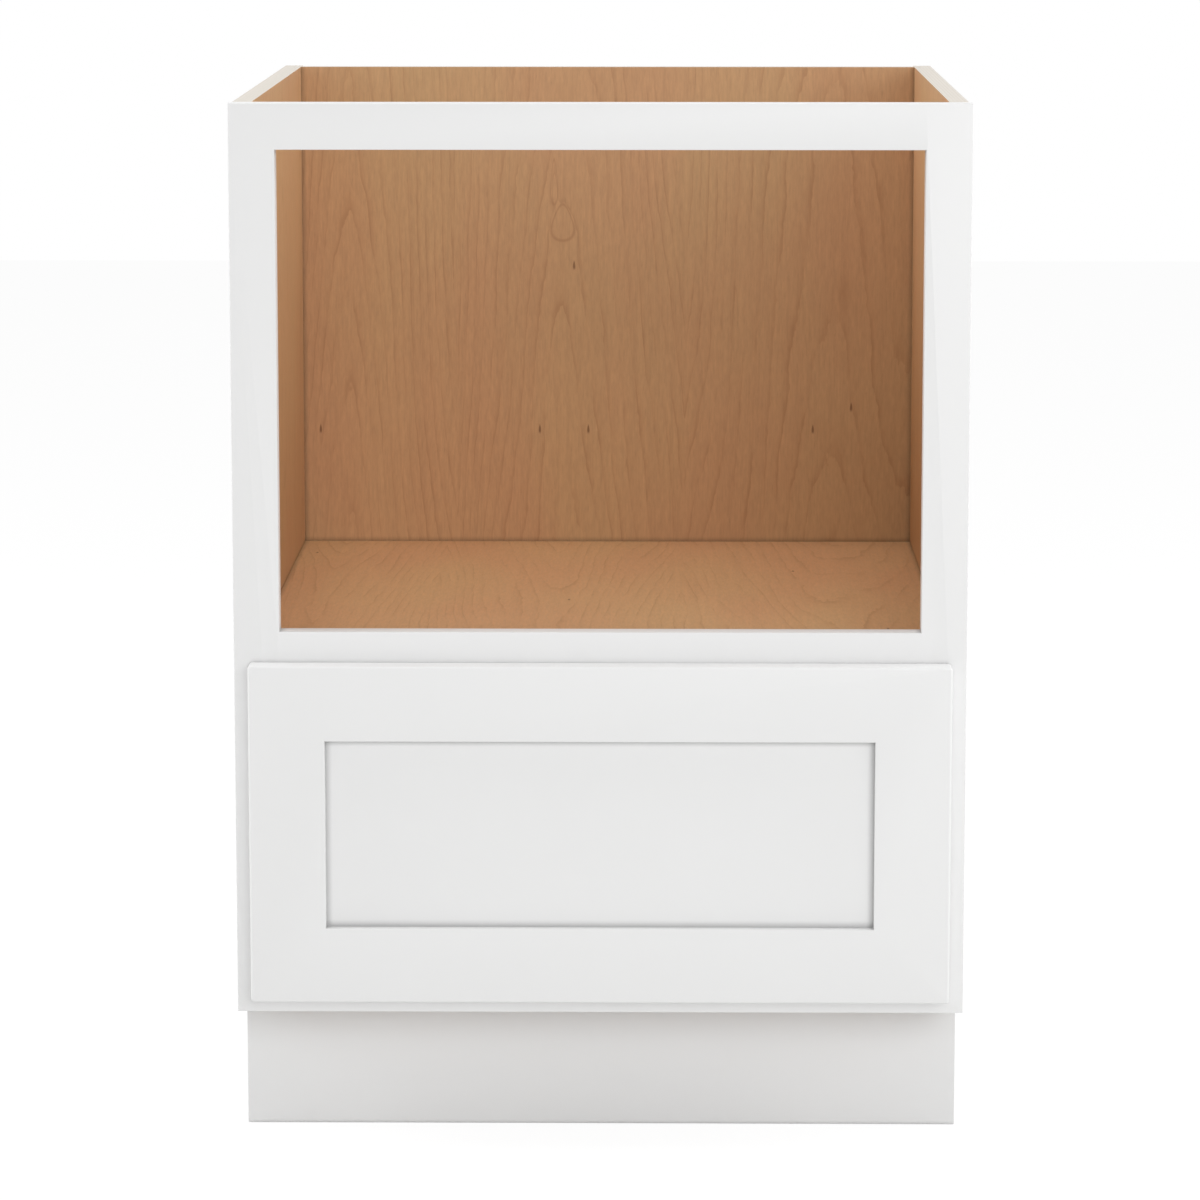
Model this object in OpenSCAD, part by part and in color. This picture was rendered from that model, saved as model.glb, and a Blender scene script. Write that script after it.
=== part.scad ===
// Base microwave cabinet: an open bay for a microwave oven above one deep drawer.
// A painted face frame closes the front of a plywood box, which stands on notched sides
// and a recessed toe board and is open at the top for the countertop. The drawer is a
// dovetailed box behind a framed front. It hangs on two full-extension ball-bearing
// runners that lie under it, and lifts off them when two levers are squeezed.
//
// Millimetres. The front faces -Y, +X is to the right of someone facing it, +Z is up.
// The origin is on the floor, at the middle of the overall width and depth.

/* [Cabinet] */
// Width over the face frame
cabinet_w = 609.6; // [558.8:0.1:762]
// Height from the floor to the top of the box
cabinet_h = 876.3; // [850:0.1:920]
// Depth from the front of the face frame to the rear edges of the sides
cabinet_d = 609.6; // [590:0.1:660]
// Height of the toe space
toe_h = 114.3; // [95:0.1:130]
// Depth of the toe notch in the sides, from the front of the face frame
toe_d = 76.2; // [60:0.1:90]

/* [Face frame] */
// Thickness of the face frame
frame_t = 19.05; // [17:0.05:22]
// Width of each stile
stile_w = 38.1; // [34:0.1:45]
// Width of the top rail
top_rail_w = 38.1; // [34:0.1:50]
// Width of the rail between the bay and the drawer
middle_rail_w = 38.1; // [34:0.1:50]
// Width of the bottom rail
bottom_rail_w = 38.1; // [34:0.1:50]
// Height of the microwave opening
bay_h = 400.05; // [370:0.05:425]
// How far the frame stands out past each side of the box
frame_overhang = 2.4; // [0:0.1:6]
// Slope of the pocket screws that join the frame
pocket_angle = 15; // [12:1:18]
// Radius of a pocket
pocket_r = 4.75; // [4.5:0.05:5.5]
// Wood left between a pocket and the end of its rail
pocket_land = 12.7; // [10:0.1:15]

/* [Box panels] */
// Thickness of the sides
side_t = 15.9; // [12:0.1:18]
// Thickness of the microwave deck
deck_t = 18; // [15:0.1:22]
// Thickness of the bottom panel
bottom_t = 15.9; // [12:0.1:19]
// Thickness of the back panel
back_t = 12.7; // [9:0.1:16]
// Recess behind the back panel
back_inset = 14; // [8:0.1:20]
// Depth of the dadoes that hold the deck, the bottom and the back
dado_depth = 6; // [4:0.1:8]
// How far the deck lies below the top of the middle rail
deck_drop = 9.5; // [3:0.1:12]
// How far the bottom panel lies below the top of the bottom rail
bottom_drop = 3.2; // [1:0.1:8]
// Thickness of the toe board
toe_board_t = 12.7; // [9:0.1:16]
// Radius of the toe board's lower front edge
toe_edge_r = 4; // [1:0.1:6]
// Height of each hanging rail behind the back panel
hanging_rail_w = 76; // [60:1:100]
// Length of a corner block along the top rail and along the side
block_leg = 72; // [60:1:90]
// Thickness of a corner block
block_t = 19; // [15:0.1:22]
// How far the corner blocks and the upper hanging rail lie below the top of the box
block_drop = 8; // [6:0.1:12]
// Width of the cut tips of a corner block
block_tip = 12; // [8:0.1:18]
// Radius of the countertop screw hole in a corner block
block_hole_r = 2.6; // [2:0.1:4]

/* [Drawer front] */
// Thickness of the drawer front
front_t = 19.05; // [18:0.05:22]
// Margin of face frame left bare at the sides and below the drawer front
front_reveal = 12.7; // [8:0.1:16]
// How far the drawer front laps over the middle rail
front_overlap = 12.7; // [10:0.1:20]
// Gap between the drawer front and the face frame
front_gap = 1.6; // [1.2:0.1:3]
// Width of the drawer front's stiles and rails
front_frame_w = 63.5; // [57:0.1:70]
// Thickness of the flat panel
panel_t = 6.35; // [5:0.05:8]
// How far the flat panel lies behind the front of its frame
panel_recess = 9; // [7:0.1:10]
// Depth of the groove round the flat panel
panel_groove = 10; // [8:0.1:12]
// Radius of the eased outer edges
front_edge_r = 2.2; // [1:0.1:4]
// Radius of the outer corners, seen from the front
front_corner_r = 3; // [2:0.1:5]
// Radius of a bumper
bumper_r = 4; // [3:0.1:5]

/* [Drawer box] */
// Gap between the box and the rail above it
box_top_gap = 17.75; // [10:0.05:40]
// Gap between the box and the back panel
box_rear_gap = 51.1; // [45:0.1:60]
// Thickness of the box's sides, front and back
box_wall_t = 15.9; // [14:0.1:18]
// Gap between the box and each stile
box_gap = 5; // [4:0.1:7]
// Height of the box above the bottom rail
box_lift = 14; // [13:0.1:18]
// Thickness of the drawer bottom
box_bottom_t = 6.35; // [5:0.05:8]
// Height of the drawer bottom above the box's lower edge
box_bottom_up = 13; // [12.5:0.1:15]
// Depth of the groove that holds the drawer bottom
box_groove = 6; // [4:0.1:7]
// Spacing of the dovetails
tail_pitch = 36; // [32:0.1:48]
// Width of a dovetail at its tip
tail_w = 24; // [18:0.1:27]
// Slope of a dovetail's sides
tail_slope = 8; // [5:1:10]
// Wood left over the end of each dovetail
tail_lap = 5; // [3:0.1:7]
// Radius of the box's top edges
box_round = 3; // [1:0.1:4]

/* [Runners] */
// Length of runner that stays covered when the drawer is fully out
runner_cover = 13.4; // [10:0.1:60]
// Gauge of the steel
steel_t = 1.2; // [1:0.1:1.5]
// Radius of the balls
ball_r = 2.4; // [2.2:0.05:2.5]
// Half the distance between the two rows of balls
ball_row = 10.6; // [10:0.1:12]
// Number of balls in a row
ball_count = 6; // [4:1:8]
// Height of the fixed runner's flange above the box's lower edge
flange_up = 25; // [22:0.1:32]
// Depth of the fixed runner below the box's lower edge
runner_low = 9; // [8:0.1:11]
// Spacing of the slots punched in the fixed runner's flange
slot_pitch = 64; // [32:1:96]
// Length of a slot in the flange
slot_l = 16; // [10:1:24]
// Width of a slot in the flange
slot_w = 5.2; // [4:0.1:7]
// Length of the soft-close damper
damper_l = 95; // [80:1:120]
// Length of runner that each rear bracket holds
bracket_grip = 30; // [20:1:40]
// Thickness of the rear bracket's walls
bracket_t = 3; // [2:0.1:4]

/* [Release lever] */
// Radius of the lever's pin
pin_r = 2.4; // [2:0.1:3]
// Distance from the pin to the middle of the latch tooth
tooth_reach = 27; // [24:0.1:30]
// Width of the latch tooth
tooth_w = 6; // [4:0.1:8]

/* [Hidden] */
$fn = 48;

// Colours
white_paint = [0.91, 0.91, 0.91];
maple = [0.69, 0.50, 0.35];
pale_maple = [0.85, 0.74, 0.60];
zinc = [0.74, 0.76, 0.78];
grey_plastic = [0.45, 0.47, 0.49];
clear_rubber = [0.86, 0.87, 0.86];
lever_plastic = [0.80, 0.81, 0.80];

// Clearances: a cutter's overrun, a glued joint, a part that moves past another, a thin gap in wood
cut = 1;
fit = 0.2;
running = 0.3;
float_gap = 0.8;

// Face frame and box
overall_d = cabinet_d + front_gap + front_t;
face_y = -overall_d / 2 + front_t + front_gap;
frame_back_y = face_y + frame_t;
frame_mid_y = face_y + frame_t / 2;
back_y = face_y + cabinet_d;
back_front_y = back_y - back_inset - back_t;
outer_half = cabinet_w / 2 - frame_overhang;
inner_half = outer_half - side_t;
opening_half = cabinet_w / 2 - stile_w;
notch_y = face_y + toe_d;
toe_y = notch_y - toe_board_t;
block_hole_at = 0.36 * block_leg;
bay_z = cabinet_h - top_rail_w - bay_h;
middle_rail_z = bay_z - middle_rail_w;
drawer_sill_z = toe_h + bottom_rail_w;
deck_top = bay_z - deck_drop;
bottom_top = drawer_sill_z - bottom_drop;
bottom_z = bottom_top - bottom_t;

// Screws: shank radius, head radius, head height
frame_screw = [1.9, 3.9, 2.6];
panel_screw = [2, 4, 2.6];
light_screw = [1.6, 3.2, 1.8];
frame_screw_l = 32;
panel_screw_l = 38;
front_screw_bite = 11;
light_screw_bite = 10;
back_screw_count = 4;

// Drawer front
front_y = face_y - front_gap - front_t;
front_back_y = front_y + front_t;
front_half = cabinet_w / 2 - front_reveal;
front_z = toe_h + front_reveal;
front_top_z = middle_rail_z + front_overlap;
front_inner_half = front_half - front_frame_w;
panel_y = front_y + panel_recess;
bumper_t = front_gap - 0.1;
bumper_margin = 6;

// Drawer box
box_half = opening_half - box_gap;
box_in = box_half - box_wall_t;
box_y = front_back_y;
box_front_in = box_y + box_wall_t;
box_end_y = back_front_y - box_rear_gap;
box_l = box_end_y - box_y;
box_back_in = box_end_y - box_wall_t;
box_z = drawer_sill_z + box_lift;
box_top_z = middle_rail_z - box_top_gap;
tail_l = box_wall_t - tail_lap;
tail_margin = 5.5;
tail_low = box_bottom_up + box_bottom_t + tail_margin;
tail_zone = box_top_z - box_z - tail_low - tail_margin;
tail_count = max(1, floor(tail_zone / tail_pitch));
tail_first = box_z + tail_low + (tail_zone - (tail_count - 1) * tail_pitch) / 2;
front_screw_in = [95, 50];
front_screw_z = [(box_z + front_z + front_frame_w - panel_groove) / 2,
    (box_top_z + front_top_z - front_frame_w + panel_groove) / 2];

// Runner section, measured from the middle of the runner and the box's lower edge
track_in_r = ball_r + running;
track_out_r = track_in_r + steel_t;
track_half = ball_row + track_out_r;
track_lip = 2.3;
track_slot = ball_row - track_lip;
upper_row_z = box_bottom_up - track_out_r;
lower_row_z = -runner_low + track_out_r;
race_gap = 0.15;
race_r = ball_r + race_gap;
race_lip = 1.4;
core_half = ball_row - race_lip;
core_h = 1.5;
core_neck = track_slot - 2.1;
cage_t = 0.6;
cage_strip = 0.4;

// Runner places
runner_gap = 1;
runner_setback = 3;
runner_travel = box_l - runner_cover;
middle_inset = [12, 16];
cage_inset = runner_travel / 4 + 8;
runner_x = box_in - runner_gap - track_half;
runner_y = face_y + runner_setback;
runner_end_y = runner_y + box_l;
middle_y = runner_y + middle_inset[0];
middle_end_y = runner_end_y - middle_inset[1];
cage_y = middle_y + cage_inset;
cage_end_y = middle_end_y - cage_inset;
ball_pitch = (cage_end_y - cage_y) / ball_count;
drawer_runner_y = box_front_in + runner_gap;
runner_screw_up = [6, 18];
slot_up = 12;
slot_y = [frame_back_y + 34, runner_end_y - bracket_grip - slot_l];
slot_count = max(1, floor((slot_y[1] - slot_y[0]) / slot_pitch));
damper_w = 11;
damper_h = 11;
damper_inset = 15;
damper_x = -track_half - runner_gap - damper_w / 2;
damper_top = -runner_low + steel_t + damper_h;
foot_w = damper_w + 2 * runner_gap + track_half;
foot_lead = 5;
catch_w = 3;
catch_l = 5;
catch_depth = 5;
catch_y = runner_end_y - damper_inset - 20;
hook_r = 2.5;
hook_l = 8;
hook_up = box_bottom_up + 8;
hook_tab = hook_r + 2;
notch_w = 2 * track_half + runner_gap + damper_w + 5;
bracket_in = 34;
bracket_out = 14;
bracket_up = 30;
bracket_screw_x = [-22, 9];
bracket_screw_up = 21;

// Lock, measured inwards from the runner, back from the box's front and up from the box's edge
lock_w = 30;
lock_l = 52;
lock_flange_t = 4;
lock_plate_t = 1.8;
lock_low = 1;
pin_at = [6.5, 12];
pin_head_r = pin_r + 1.6;
lever_boss_r = pin_r + 2.6;
lever_arm = [2, 8.5];
lever_z = [4.9, box_bottom_up - lock_plate_t - running];
tooth_half_h = 1.5;
tooth_room = [1, 1.5];
tooth_y = pin_at[1] + tooth_reach;
finger_t = 4;
finger_l = 8;
grip_r = 0.6;
grip_count = 4;
lock_screw_x = [15, 24];
lock_screw_up = 6;

// A block between two corners
module block(lo, hi) translate(lo) cube(hi - lo);

// The same piece on the cabinet's left
module to_left() mirror([1, 0, 0]) children();

// An outline in (x, z), run along Y
module along_y(y0, y1) translate([0, y1, 0]) rotate([90, 0, 0]) linear_extrude(y1 - y0) children();

// An outline in (y, z), run along X
module along_x(x0, x1) translate([x0, 0, 0]) rotate([90, 0, 90]) linear_extrude(x1 - x0) children();

// A round-head wood screw. Its head's seat is at the origin and it points along +Z.
module wood_screw(size, length) {
    tip = 3 * size[0];
    translate([0, 0, -size[2]]) cylinder(r = size[1], h = size[2]);
    cylinder(r = size[0], h = length - tip);
    translate([0, 0, length - tip]) cylinder(r1 = size[0], r2 = 0.4, h = tip);
}

// A countersunk screw. Its head's flat face is at the origin and it points along +Z.
module flush_screw(size, length, grow = 0) {
    tip = 3 * size[0];
    cylinder(r1 = size[1] + grow, r2 = size[0] + grow, h = size[2]);
    cylinder(r = size[0] + grow, h = length - tip);
    translate([0, 0, length - tip]) cylinder(r1 = size[0] + grow, r2 = 0.4 + grow, h = tip + grow);
}

// The hole for a screw's shank
module pilot(size, length) translate([0, 0, -cut]) cylinder(r = size[0] + fit / 2, h = length + 2 * cut);

// ---- Box panels ----

module side_panel() {
    color(maple) difference() {
        block([inner_half, frame_back_y, 0], [outer_half, back_y, cabinet_h]);
        block([inner_half - cut, frame_back_y - cut, -cut], [outer_half + cut, notch_y, toe_h]);
        for (shelf = [[deck_top, deck_t], [bottom_top, bottom_t]])
            block([inner_half - cut, frame_back_y - cut, shelf[0] - shelf[1]],
                [inner_half + dado_depth, back_front_y + cut, shelf[0] + fit]);
        block([inner_half - cut, back_front_y - fit, bottom_z],
            [inner_half + dado_depth, back_front_y + back_t, cabinet_h + cut]);
    }
}

module back_screw_places() {
    pitch = 2 * inner_half / back_screw_count;
    for (z = [deck_top - deck_t / 2, bottom_top - bottom_t / 2], n = [0 : back_screw_count - 1])
        translate([(n + 0.5) * pitch - inner_half, back_front_y + back_t, z]) rotate([90, 0, 0])
            children();
}

module shelf_panel(top, thickness) {
    half = inner_half + dado_depth - fit;
    color(maple) difference() {
        block([-half, frame_back_y, top - thickness], [half, back_front_y, top]);
        back_screw_places() pilot(panel_screw, panel_screw_l);
    }
}

module back_panel() {
    half = inner_half + dado_depth - fit;
    color(maple) difference() {
        block([-half, back_front_y, bottom_z], [half, back_front_y + back_t, cabinet_h]);
        back_screw_places() {
            pilot(panel_screw, panel_screw_l);
            flush_screw(panel_screw, panel_screw_l, fit / 2);
        }
        for (s = [-1, 1]) bracket_screw_places(s) pilot(light_screw, light_screw_bite);
    }
}

// A rail behind the back panel, for the wall screws. Its lower edge is at z.
module hanging_rail(z) {
    half = inner_half - fit;
    color(pale_maple) block([-half, back_front_y + back_t, z], [half, back_y, z + hanging_rail_w]);
}

module back_panel_screws() {
    color(zinc) back_screw_places() flush_screw(panel_screw, panel_screw_l);
}

module toe_board() {
    r = toe_edge_r;
    color(white_paint) union() {
        along_x(-outer_half, outer_half) union() {
            translate([toe_y + r, 0]) square([toe_board_t - r, toe_h - fit]);
            translate([toe_y, r]) square([toe_board_t, toe_h - fit - r]);
            translate([toe_y + r, r]) circle(r);
        }
        block([-inner_half + fit, toe_y, toe_h - fit - cut], [inner_half - fit, notch_y, bottom_z]);
    }
}

module corner_block() {
    x = inner_half;
    y = frame_back_y;
    color(pale_maple) translate([0, 0, cabinet_h - block_drop - block_t]) difference() {
        linear_extrude(block_t) polygon([[x, y], [x - block_leg, y], [x - block_leg, y + block_tip],
            [x - block_tip, y + block_leg], [x, y + block_leg]]);
        translate([x - block_hole_at, y + block_hole_at, -cut])
            cylinder(r = block_hole_r, h = block_t + 2 * cut);
    }
}

// ---- Face frame ----

// The two screws at the right end of a rail whose lower edge is at z
module pocket_places(z, width) {
    for (k = [0.25, 0.75])
        translate([opening_half, frame_mid_y, z + k * width]) rotate([0, 0, -pocket_angle])
            rotate([0, 90, 0]) translate([0, 0, -pocket_land]) children();
}

module pocket_cut() {
    run = 4 * frame_t;
    translate([0, 0, -run]) cylinder(r = pocket_r, h = run);
    pilot(frame_screw, frame_screw_l);
}

function rails() = [[toe_h, bottom_rail_w], [middle_rail_z, middle_rail_w], [bay_z + bay_h, top_rail_w]];

module rail(place) {
    z = place[0];
    width = place[1];
    color(white_paint) difference() {
        block([-opening_half, face_y, z], [opening_half, frame_back_y, z + width]);
        pocket_places(z, width) pocket_cut();
        to_left() pocket_places(z, width) pocket_cut();
    }
}

module stile() {
    color(white_paint) difference() {
        block([opening_half, face_y, toe_h], [cabinet_w / 2, frame_back_y, cabinet_h]);
        for (r = rails()) pocket_places(r[0], r[1]) pilot(frame_screw, frame_screw_l);
        runner_screw_places() pilot(light_screw, light_screw_bite);
    }
}

module frame_pocket_screws() {
    color(zinc) for (r = rails()) {
        pocket_places(r[0], r[1]) wood_screw(frame_screw, frame_screw_l);
        to_left() pocket_places(r[0], r[1]) wood_screw(frame_screw, frame_screw_l);
    }
}

// ---- Runners, drawn for the right side ----

module at_runner() translate([runner_x, 0, box_z]) children();

// A flat loop with round ends, centred on a pair of ball rows
module loop(r) {
    for (s = [-1, 1]) translate([s * ball_row, 0]) circle(r);
    square([2 * ball_row, 2 * r], center = true);
}

// A steel channel curled round both rows of balls, open on the side that dir gives
module track(dir) {
    difference() {
        loop(track_out_r);
        loop(track_in_r);
        translate([0, dir * track_out_r]) square([2 * track_slot, 2 * track_out_r], center = true);
    }
}

module runner_screw_places() {
    for (up = runner_screw_up)
        translate([opening_half - steel_t, (runner_y + frame_back_y) / 2, box_z + up])
            rotate([0, 90, 0]) children();
}

module cabinet_runner() {
    flange = opening_half - runner_x;
    color(zinc) difference() {
        union() {
            at_runner() {
                along_y(runner_y, runner_end_y) union() {
                    translate([0, lower_row_z]) track(1);
                    translate([ball_row, -runner_low]) square([flange - ball_row, steel_t]);
                    translate([flange - steel_t, -runner_low]) square([steel_t, runner_low + flange_up]);
                }
                block([-foot_w, runner_end_y - damper_l - damper_inset - foot_lead, -runner_low],
                    [0, runner_end_y, -runner_low + steel_t]);
            }
        }
        runner_screw_places() pilot(light_screw, light_screw_bite);
        along_x(opening_half - steel_t - cut, opening_half + cut) flange_slots();
    }
}

// The slots along the fixed runner's flange, in (y, z)
module flange_slots() {
    straight = slot_l - slot_w;
    for (n = [0 : slot_count - 1]) translate([slot_y[0] + n * slot_pitch, box_z + slot_up]) {
        translate([0, -slot_w / 2]) square([straight, slot_w]);
        for (y = [0, straight]) translate([y, 0]) circle(slot_w / 2);
    }
}

// The soft-close damper, with the slot that the runner's catch enters
module damper() {
    r = damper_w / 2;
    y = runner_end_y - damper_inset - damper_l;
    slot = catch_w / 2 + running;
    color(grey_plastic) at_runner() translate([damper_x, 0, 0]) difference() {
        along_y(y, y + damper_l) union() {
            translate([-r, damper_top - damper_h]) square([damper_w, damper_h - r]);
            translate([0, damper_top - r]) circle(r);
        }
        block([-slot, y - cut, damper_top - catch_depth - running],
            [slot, catch_y + catch_l + running, damper_top + cut]);
    }
}

module middle_runner() {
    color(zinc) at_runner() along_y(middle_y, middle_end_y) difference() {
        union() {
            for (row = [lower_row_z, upper_row_z])
                translate([0, row]) square([2 * core_half, 2 * core_h], center = true);
            translate([-core_neck, lower_row_z]) square([2 * core_neck, upper_row_z - lower_row_z]);
        }
        for (row = [lower_row_z, upper_row_z], s = [-1, 1]) translate([s * ball_row, row]) circle(race_r);
        translate([-core_neck + steel_t, lower_row_z - core_h + steel_t])
            square([2 * (core_neck - steel_t), upper_row_z - lower_row_z + 2 * (core_h - steel_t)]);
    }
}

module ball_places() {
    for (n = [0 : ball_count - 1], s = [-1, 1])
        translate([s * ball_row, cage_y + (n + 0.5) * ball_pitch, 0]) children();
}

// A ball cage whose bridge lies above its rows (dir 1) or below them (dir -1)
module cage(row, dir) {
    reach = ball_row + cage_strip;
    bridge = core_h + running;
    color(grey_plastic) at_runner() translate([0, 0, row]) difference() {
        along_y(cage_y, cage_end_y) scale([1, dir]) union() {
            translate([-reach, bridge]) square([2 * reach, cage_t]);
            for (s = [-1, 1]) translate([s * ball_row - cage_strip, -core_h])
                square([2 * cage_strip, core_h + bridge + cage_t]);
        }
        ball_places() sphere(ball_r + fit / 2);
    }
}

module balls(row) color(zinc) at_runner() translate([0, 0, row]) ball_places() sphere(ball_r);

// The pin at the runner's rear that hooks the back of the box
module hook_pin(r, length) {
    translate([0, box_end_y + steel_t / 2, hook_up]) rotate([90, 0, 0])
        cylinder(r = r, h = length + steel_t / 2);
}

module drawer_runner() {
    roof = upper_row_z + track_out_r - steel_t;
    shelf = upper_row_z - track_in_r;
    color(zinc) difference() {
        at_runner() {
            along_y(drawer_runner_y, box_end_y) translate([0, upper_row_z]) track(-1);
            block([-hook_tab, box_end_y - cut, roof], [hook_tab, box_end_y + steel_t, roof + steel_t]);
            block([-hook_tab, box_end_y, roof], [hook_tab, box_end_y + steel_t, hook_up + hook_tab]);
            hook_pin(hook_r, hook_l);
            block([damper_x - catch_w / 2, catch_y, shelf], [-ball_row, catch_y + catch_l, shelf + steel_t]);
            block([damper_x - catch_w / 2, catch_y, damper_top - catch_depth],
                [damper_x + catch_w / 2, catch_y + catch_l, shelf + steel_t]);
        }
        at_lock() translate([0, tooth_y, upper_row_z])
            block([-steel_t - running, -tooth_w / 2 - tooth_room[0], -tooth_half_h - running],
                [cut, tooth_w / 2 + tooth_room[1], tooth_half_h + running]);
    }
}

module bracket_screw_places(side) {
    mirror([side < 0 ? 1 : 0, 0, 0]) for (x = bracket_screw_x)
        translate([opening_half + x, back_front_y - bracket_t, box_z + bracket_screw_up])
            rotate([-90, 0, 0]) children();
}

module rear_bracket() {
    x = opening_half;
    z = box_z - runner_low;
    y = runner_end_y - bracket_grip;
    wall = x + running + bracket_t;
    color(grey_plastic) difference() {
        union() {
            block([x - bracket_in, back_front_y - bracket_t, z - bracket_t],
                [x + bracket_out, back_front_y, box_z + bracket_up]);
            block([x - bracket_in, y, z - bracket_t], [wall, back_front_y - bracket_t, z]);
            block([x + running, y, z - bracket_t], [wall, back_front_y - bracket_t, box_z + flange_up]);
        }
        bracket_screw_places(1) pilot(light_screw, light_screw_bite);
    }
}

// ---- Drawer front ----

// A section through the front, from a to b along its first axis, with its two front edges eased
module eased(a, b) {
    r = front_edge_r;
    translate([a, front_y + r]) square([b - a, front_t - r]);
    translate([a + r, front_y]) square([b - a - 2 * r, front_t]);
    for (p = [a + r, b - r]) translate([p, front_y + r]) circle(r);
}

// The outline of the drawer front, in (x, z)
module front_outline() {
    r = front_corner_r;
    translate([-front_half + r, front_z]) square([2 * (front_half - r), front_top_z - front_z]);
    translate([-front_half, front_z + r]) square([2 * front_half, front_top_z - front_z - 2 * r]);
    for (x = [r - front_half, front_half - r], z = [front_z + r, front_top_z - r])
        translate([x, z]) circle(r);
}

module eased_front() {
    intersection() {
        translate([0, 0, front_z]) linear_extrude(front_top_z - front_z) eased(-front_half, front_half);
        translate([front_half, 0, 0]) rotate([0, -90, 0]) linear_extrude(2 * front_half)
            eased(front_z, front_top_z);
        along_y(front_y, front_back_y) front_outline();
    }
}

module front_stile() {
    color(white_paint) difference() {
        intersection() {
            eased_front();
            block([front_inner_half, front_y - cut, front_z - cut],
                [front_half + cut, front_back_y + cut, front_top_z + cut]);
        }
        block([front_inner_half - cut, panel_y, front_z - cut],
            [front_inner_half + panel_groove, panel_y + panel_t + fit, front_top_z + cut]);
    }
}

// A rail between lo and hi. Its inner edge is at edge, with the groove for the panel,
// and up is 1 where the rail lies above that edge or -1 where it lies below.
module front_rail(lo, hi, edge, up) {
    half = front_inner_half + panel_groove - fit;
    groove = [min(edge, edge + up * panel_groove), max(edge, edge + up * panel_groove)];
    color(white_paint) difference() {
        union() {
            intersection() {
                eased_front();
                block([-front_inner_half, front_y - cut, lo], [front_inner_half, front_back_y + cut, hi]);
            }
            block([-half, panel_y, lo], [half, panel_y + panel_t, hi]);
        }
        block([-half - cut, panel_y, groove[0] - (up > 0 ? cut : 0)],
            [half + cut, panel_y + panel_t + fit, groove[1] + (up > 0 ? 0 : cut)]);
        front_screw_places() pilot(panel_screw, box_wall_t + front_screw_bite);
    }
}

module front_panel() {
    x = front_inner_half + panel_groove - float_gap;
    z = [front_z + front_frame_w - panel_groove + float_gap,
        front_top_z - front_frame_w + panel_groove - float_gap];
    color(white_paint) block([-x, panel_y, z[0]], [x, panel_y + panel_t, z[1]]);
}

module front_screw_places() {
    for (s = [-1, 1], n = [0, 1])
        translate([s * (box_in - front_screw_in[n]), box_front_in, front_screw_z[n]])
            rotate([90, 0, 0]) children();
}

module drawer_front_screws() {
    color(zinc) front_screw_places() wood_screw(panel_screw, box_wall_t + front_screw_bite);
}

module drawer_bumpers() {
    low_z = front_z + bumper_r + bumper_margin;
    high_z = front_top_z - bumper_margin;
    color(clear_rubber) for (s = [-1, 1], z = [low_z, high_z])
        translate([s * (front_half - 2 * bumper_margin), front_back_y, z]) rotate([-90, 0, 0])
            cylinder(r = bumper_r, h = bumper_t);
}

// ---- Drawer box ----

// The outline of every dovetail at the box's front, in (y, z)
module tails(grow) {
    tip = tail_w / 2;
    root = tip - tail_l * tan(tail_slope);
    for (n = [0 : tail_count - 1]) translate([box_front_in, tail_first + n * tail_pitch])
        polygon([[cut, -root - grow], [0, -root - grow], [-tail_l - grow, -tip - grow],
            [-tail_l - grow, tip + grow], [0, root + grow], [cut, root + grow]]);
}

// Whatever is at the box's front, mirrored to its back as well
module both_ends() {
    children();
    translate([0, box_y + box_end_y, 0]) mirror([0, 1, 0]) children();
}

// A section through a board of the box, from a to b, with its two top edges rounded
module board(a, b) {
    r = box_round;
    translate([a, box_z]) square([b - a, box_top_z - box_z - r]);
    translate([a + r, box_z]) square([b - a - 2 * r, box_top_z - box_z]);
    for (p = [a + r, b - r]) translate([p, box_top_z - r]) circle(r);
}

module box_side() {
    groove = box_z + box_bottom_up;
    color(pale_maple) difference() {
        union() {
            along_y(box_front_in, box_back_in) board(box_in, box_half);
            both_ends() along_x(box_in, box_half) tails(0);
        }
        block([box_in - cut, box_front_in - cut, groove],
            [box_in + box_groove, box_back_in + cut, groove + box_bottom_t + fit]);
    }
}

// The front of the box, or its back before that is turned round
module box_end() {
    groove = box_z + box_bottom_up;
    difference() {
        along_x(-box_half, box_half) board(box_y, box_front_in);
        for (s = [-1, 1]) mirror([s < 0 ? 1 : 0, 0, 0])
            along_x(box_in - fit / 2, box_half + cut) tails(fit / 2);
        block([-box_in - box_groove, box_front_in - box_groove, groove],
            [box_in + box_groove, box_front_in + cut, groove + box_bottom_t + fit]);
    }
}

module box_front() {
    color(pale_maple) difference() {
        box_end();
        front_screw_places() pilot(panel_screw, box_wall_t);
        for (s = [-1, 1]) lock_screw_places(s) pilot(light_screw, light_screw_bite);
    }
}

module box_back() {
    color(pale_maple) difference() {
        translate([0, box_y + box_end_y, 0]) mirror([0, 1, 0]) box_end();
        for (s = [-1, 1]) mirror([s < 0 ? 1 : 0, 0, 0]) {
            block([box_in - notch_w, box_back_in - cut, box_z - cut],
                [box_in, box_end_y + cut, box_z + box_bottom_up]);
            at_runner() hook_pin(hook_r + fit / 2, hook_l + fit);
        }
    }
}

module box_bottom() {
    x = box_in + box_groove - fit;
    color(maple) block([-x, box_front_in - box_groove + fit, box_z + box_bottom_up],
        [x, box_back_in + box_groove - fit, box_z + box_bottom_up + box_bottom_t]);
}

// ---- Lock that ties the drawer to its runner, drawn for the right side ----

module at_lock() translate([runner_x - track_half, box_front_in, box_z]) mirror([1, 0, 0]) children();

module lock_screw_places(side) {
    mirror([side < 0 ? 1 : 0, 0, 0]) at_lock() for (x = lock_screw_x)
        translate([x, lock_flange_t, lock_screw_up]) rotate([90, 0, 0]) children();
}

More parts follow.
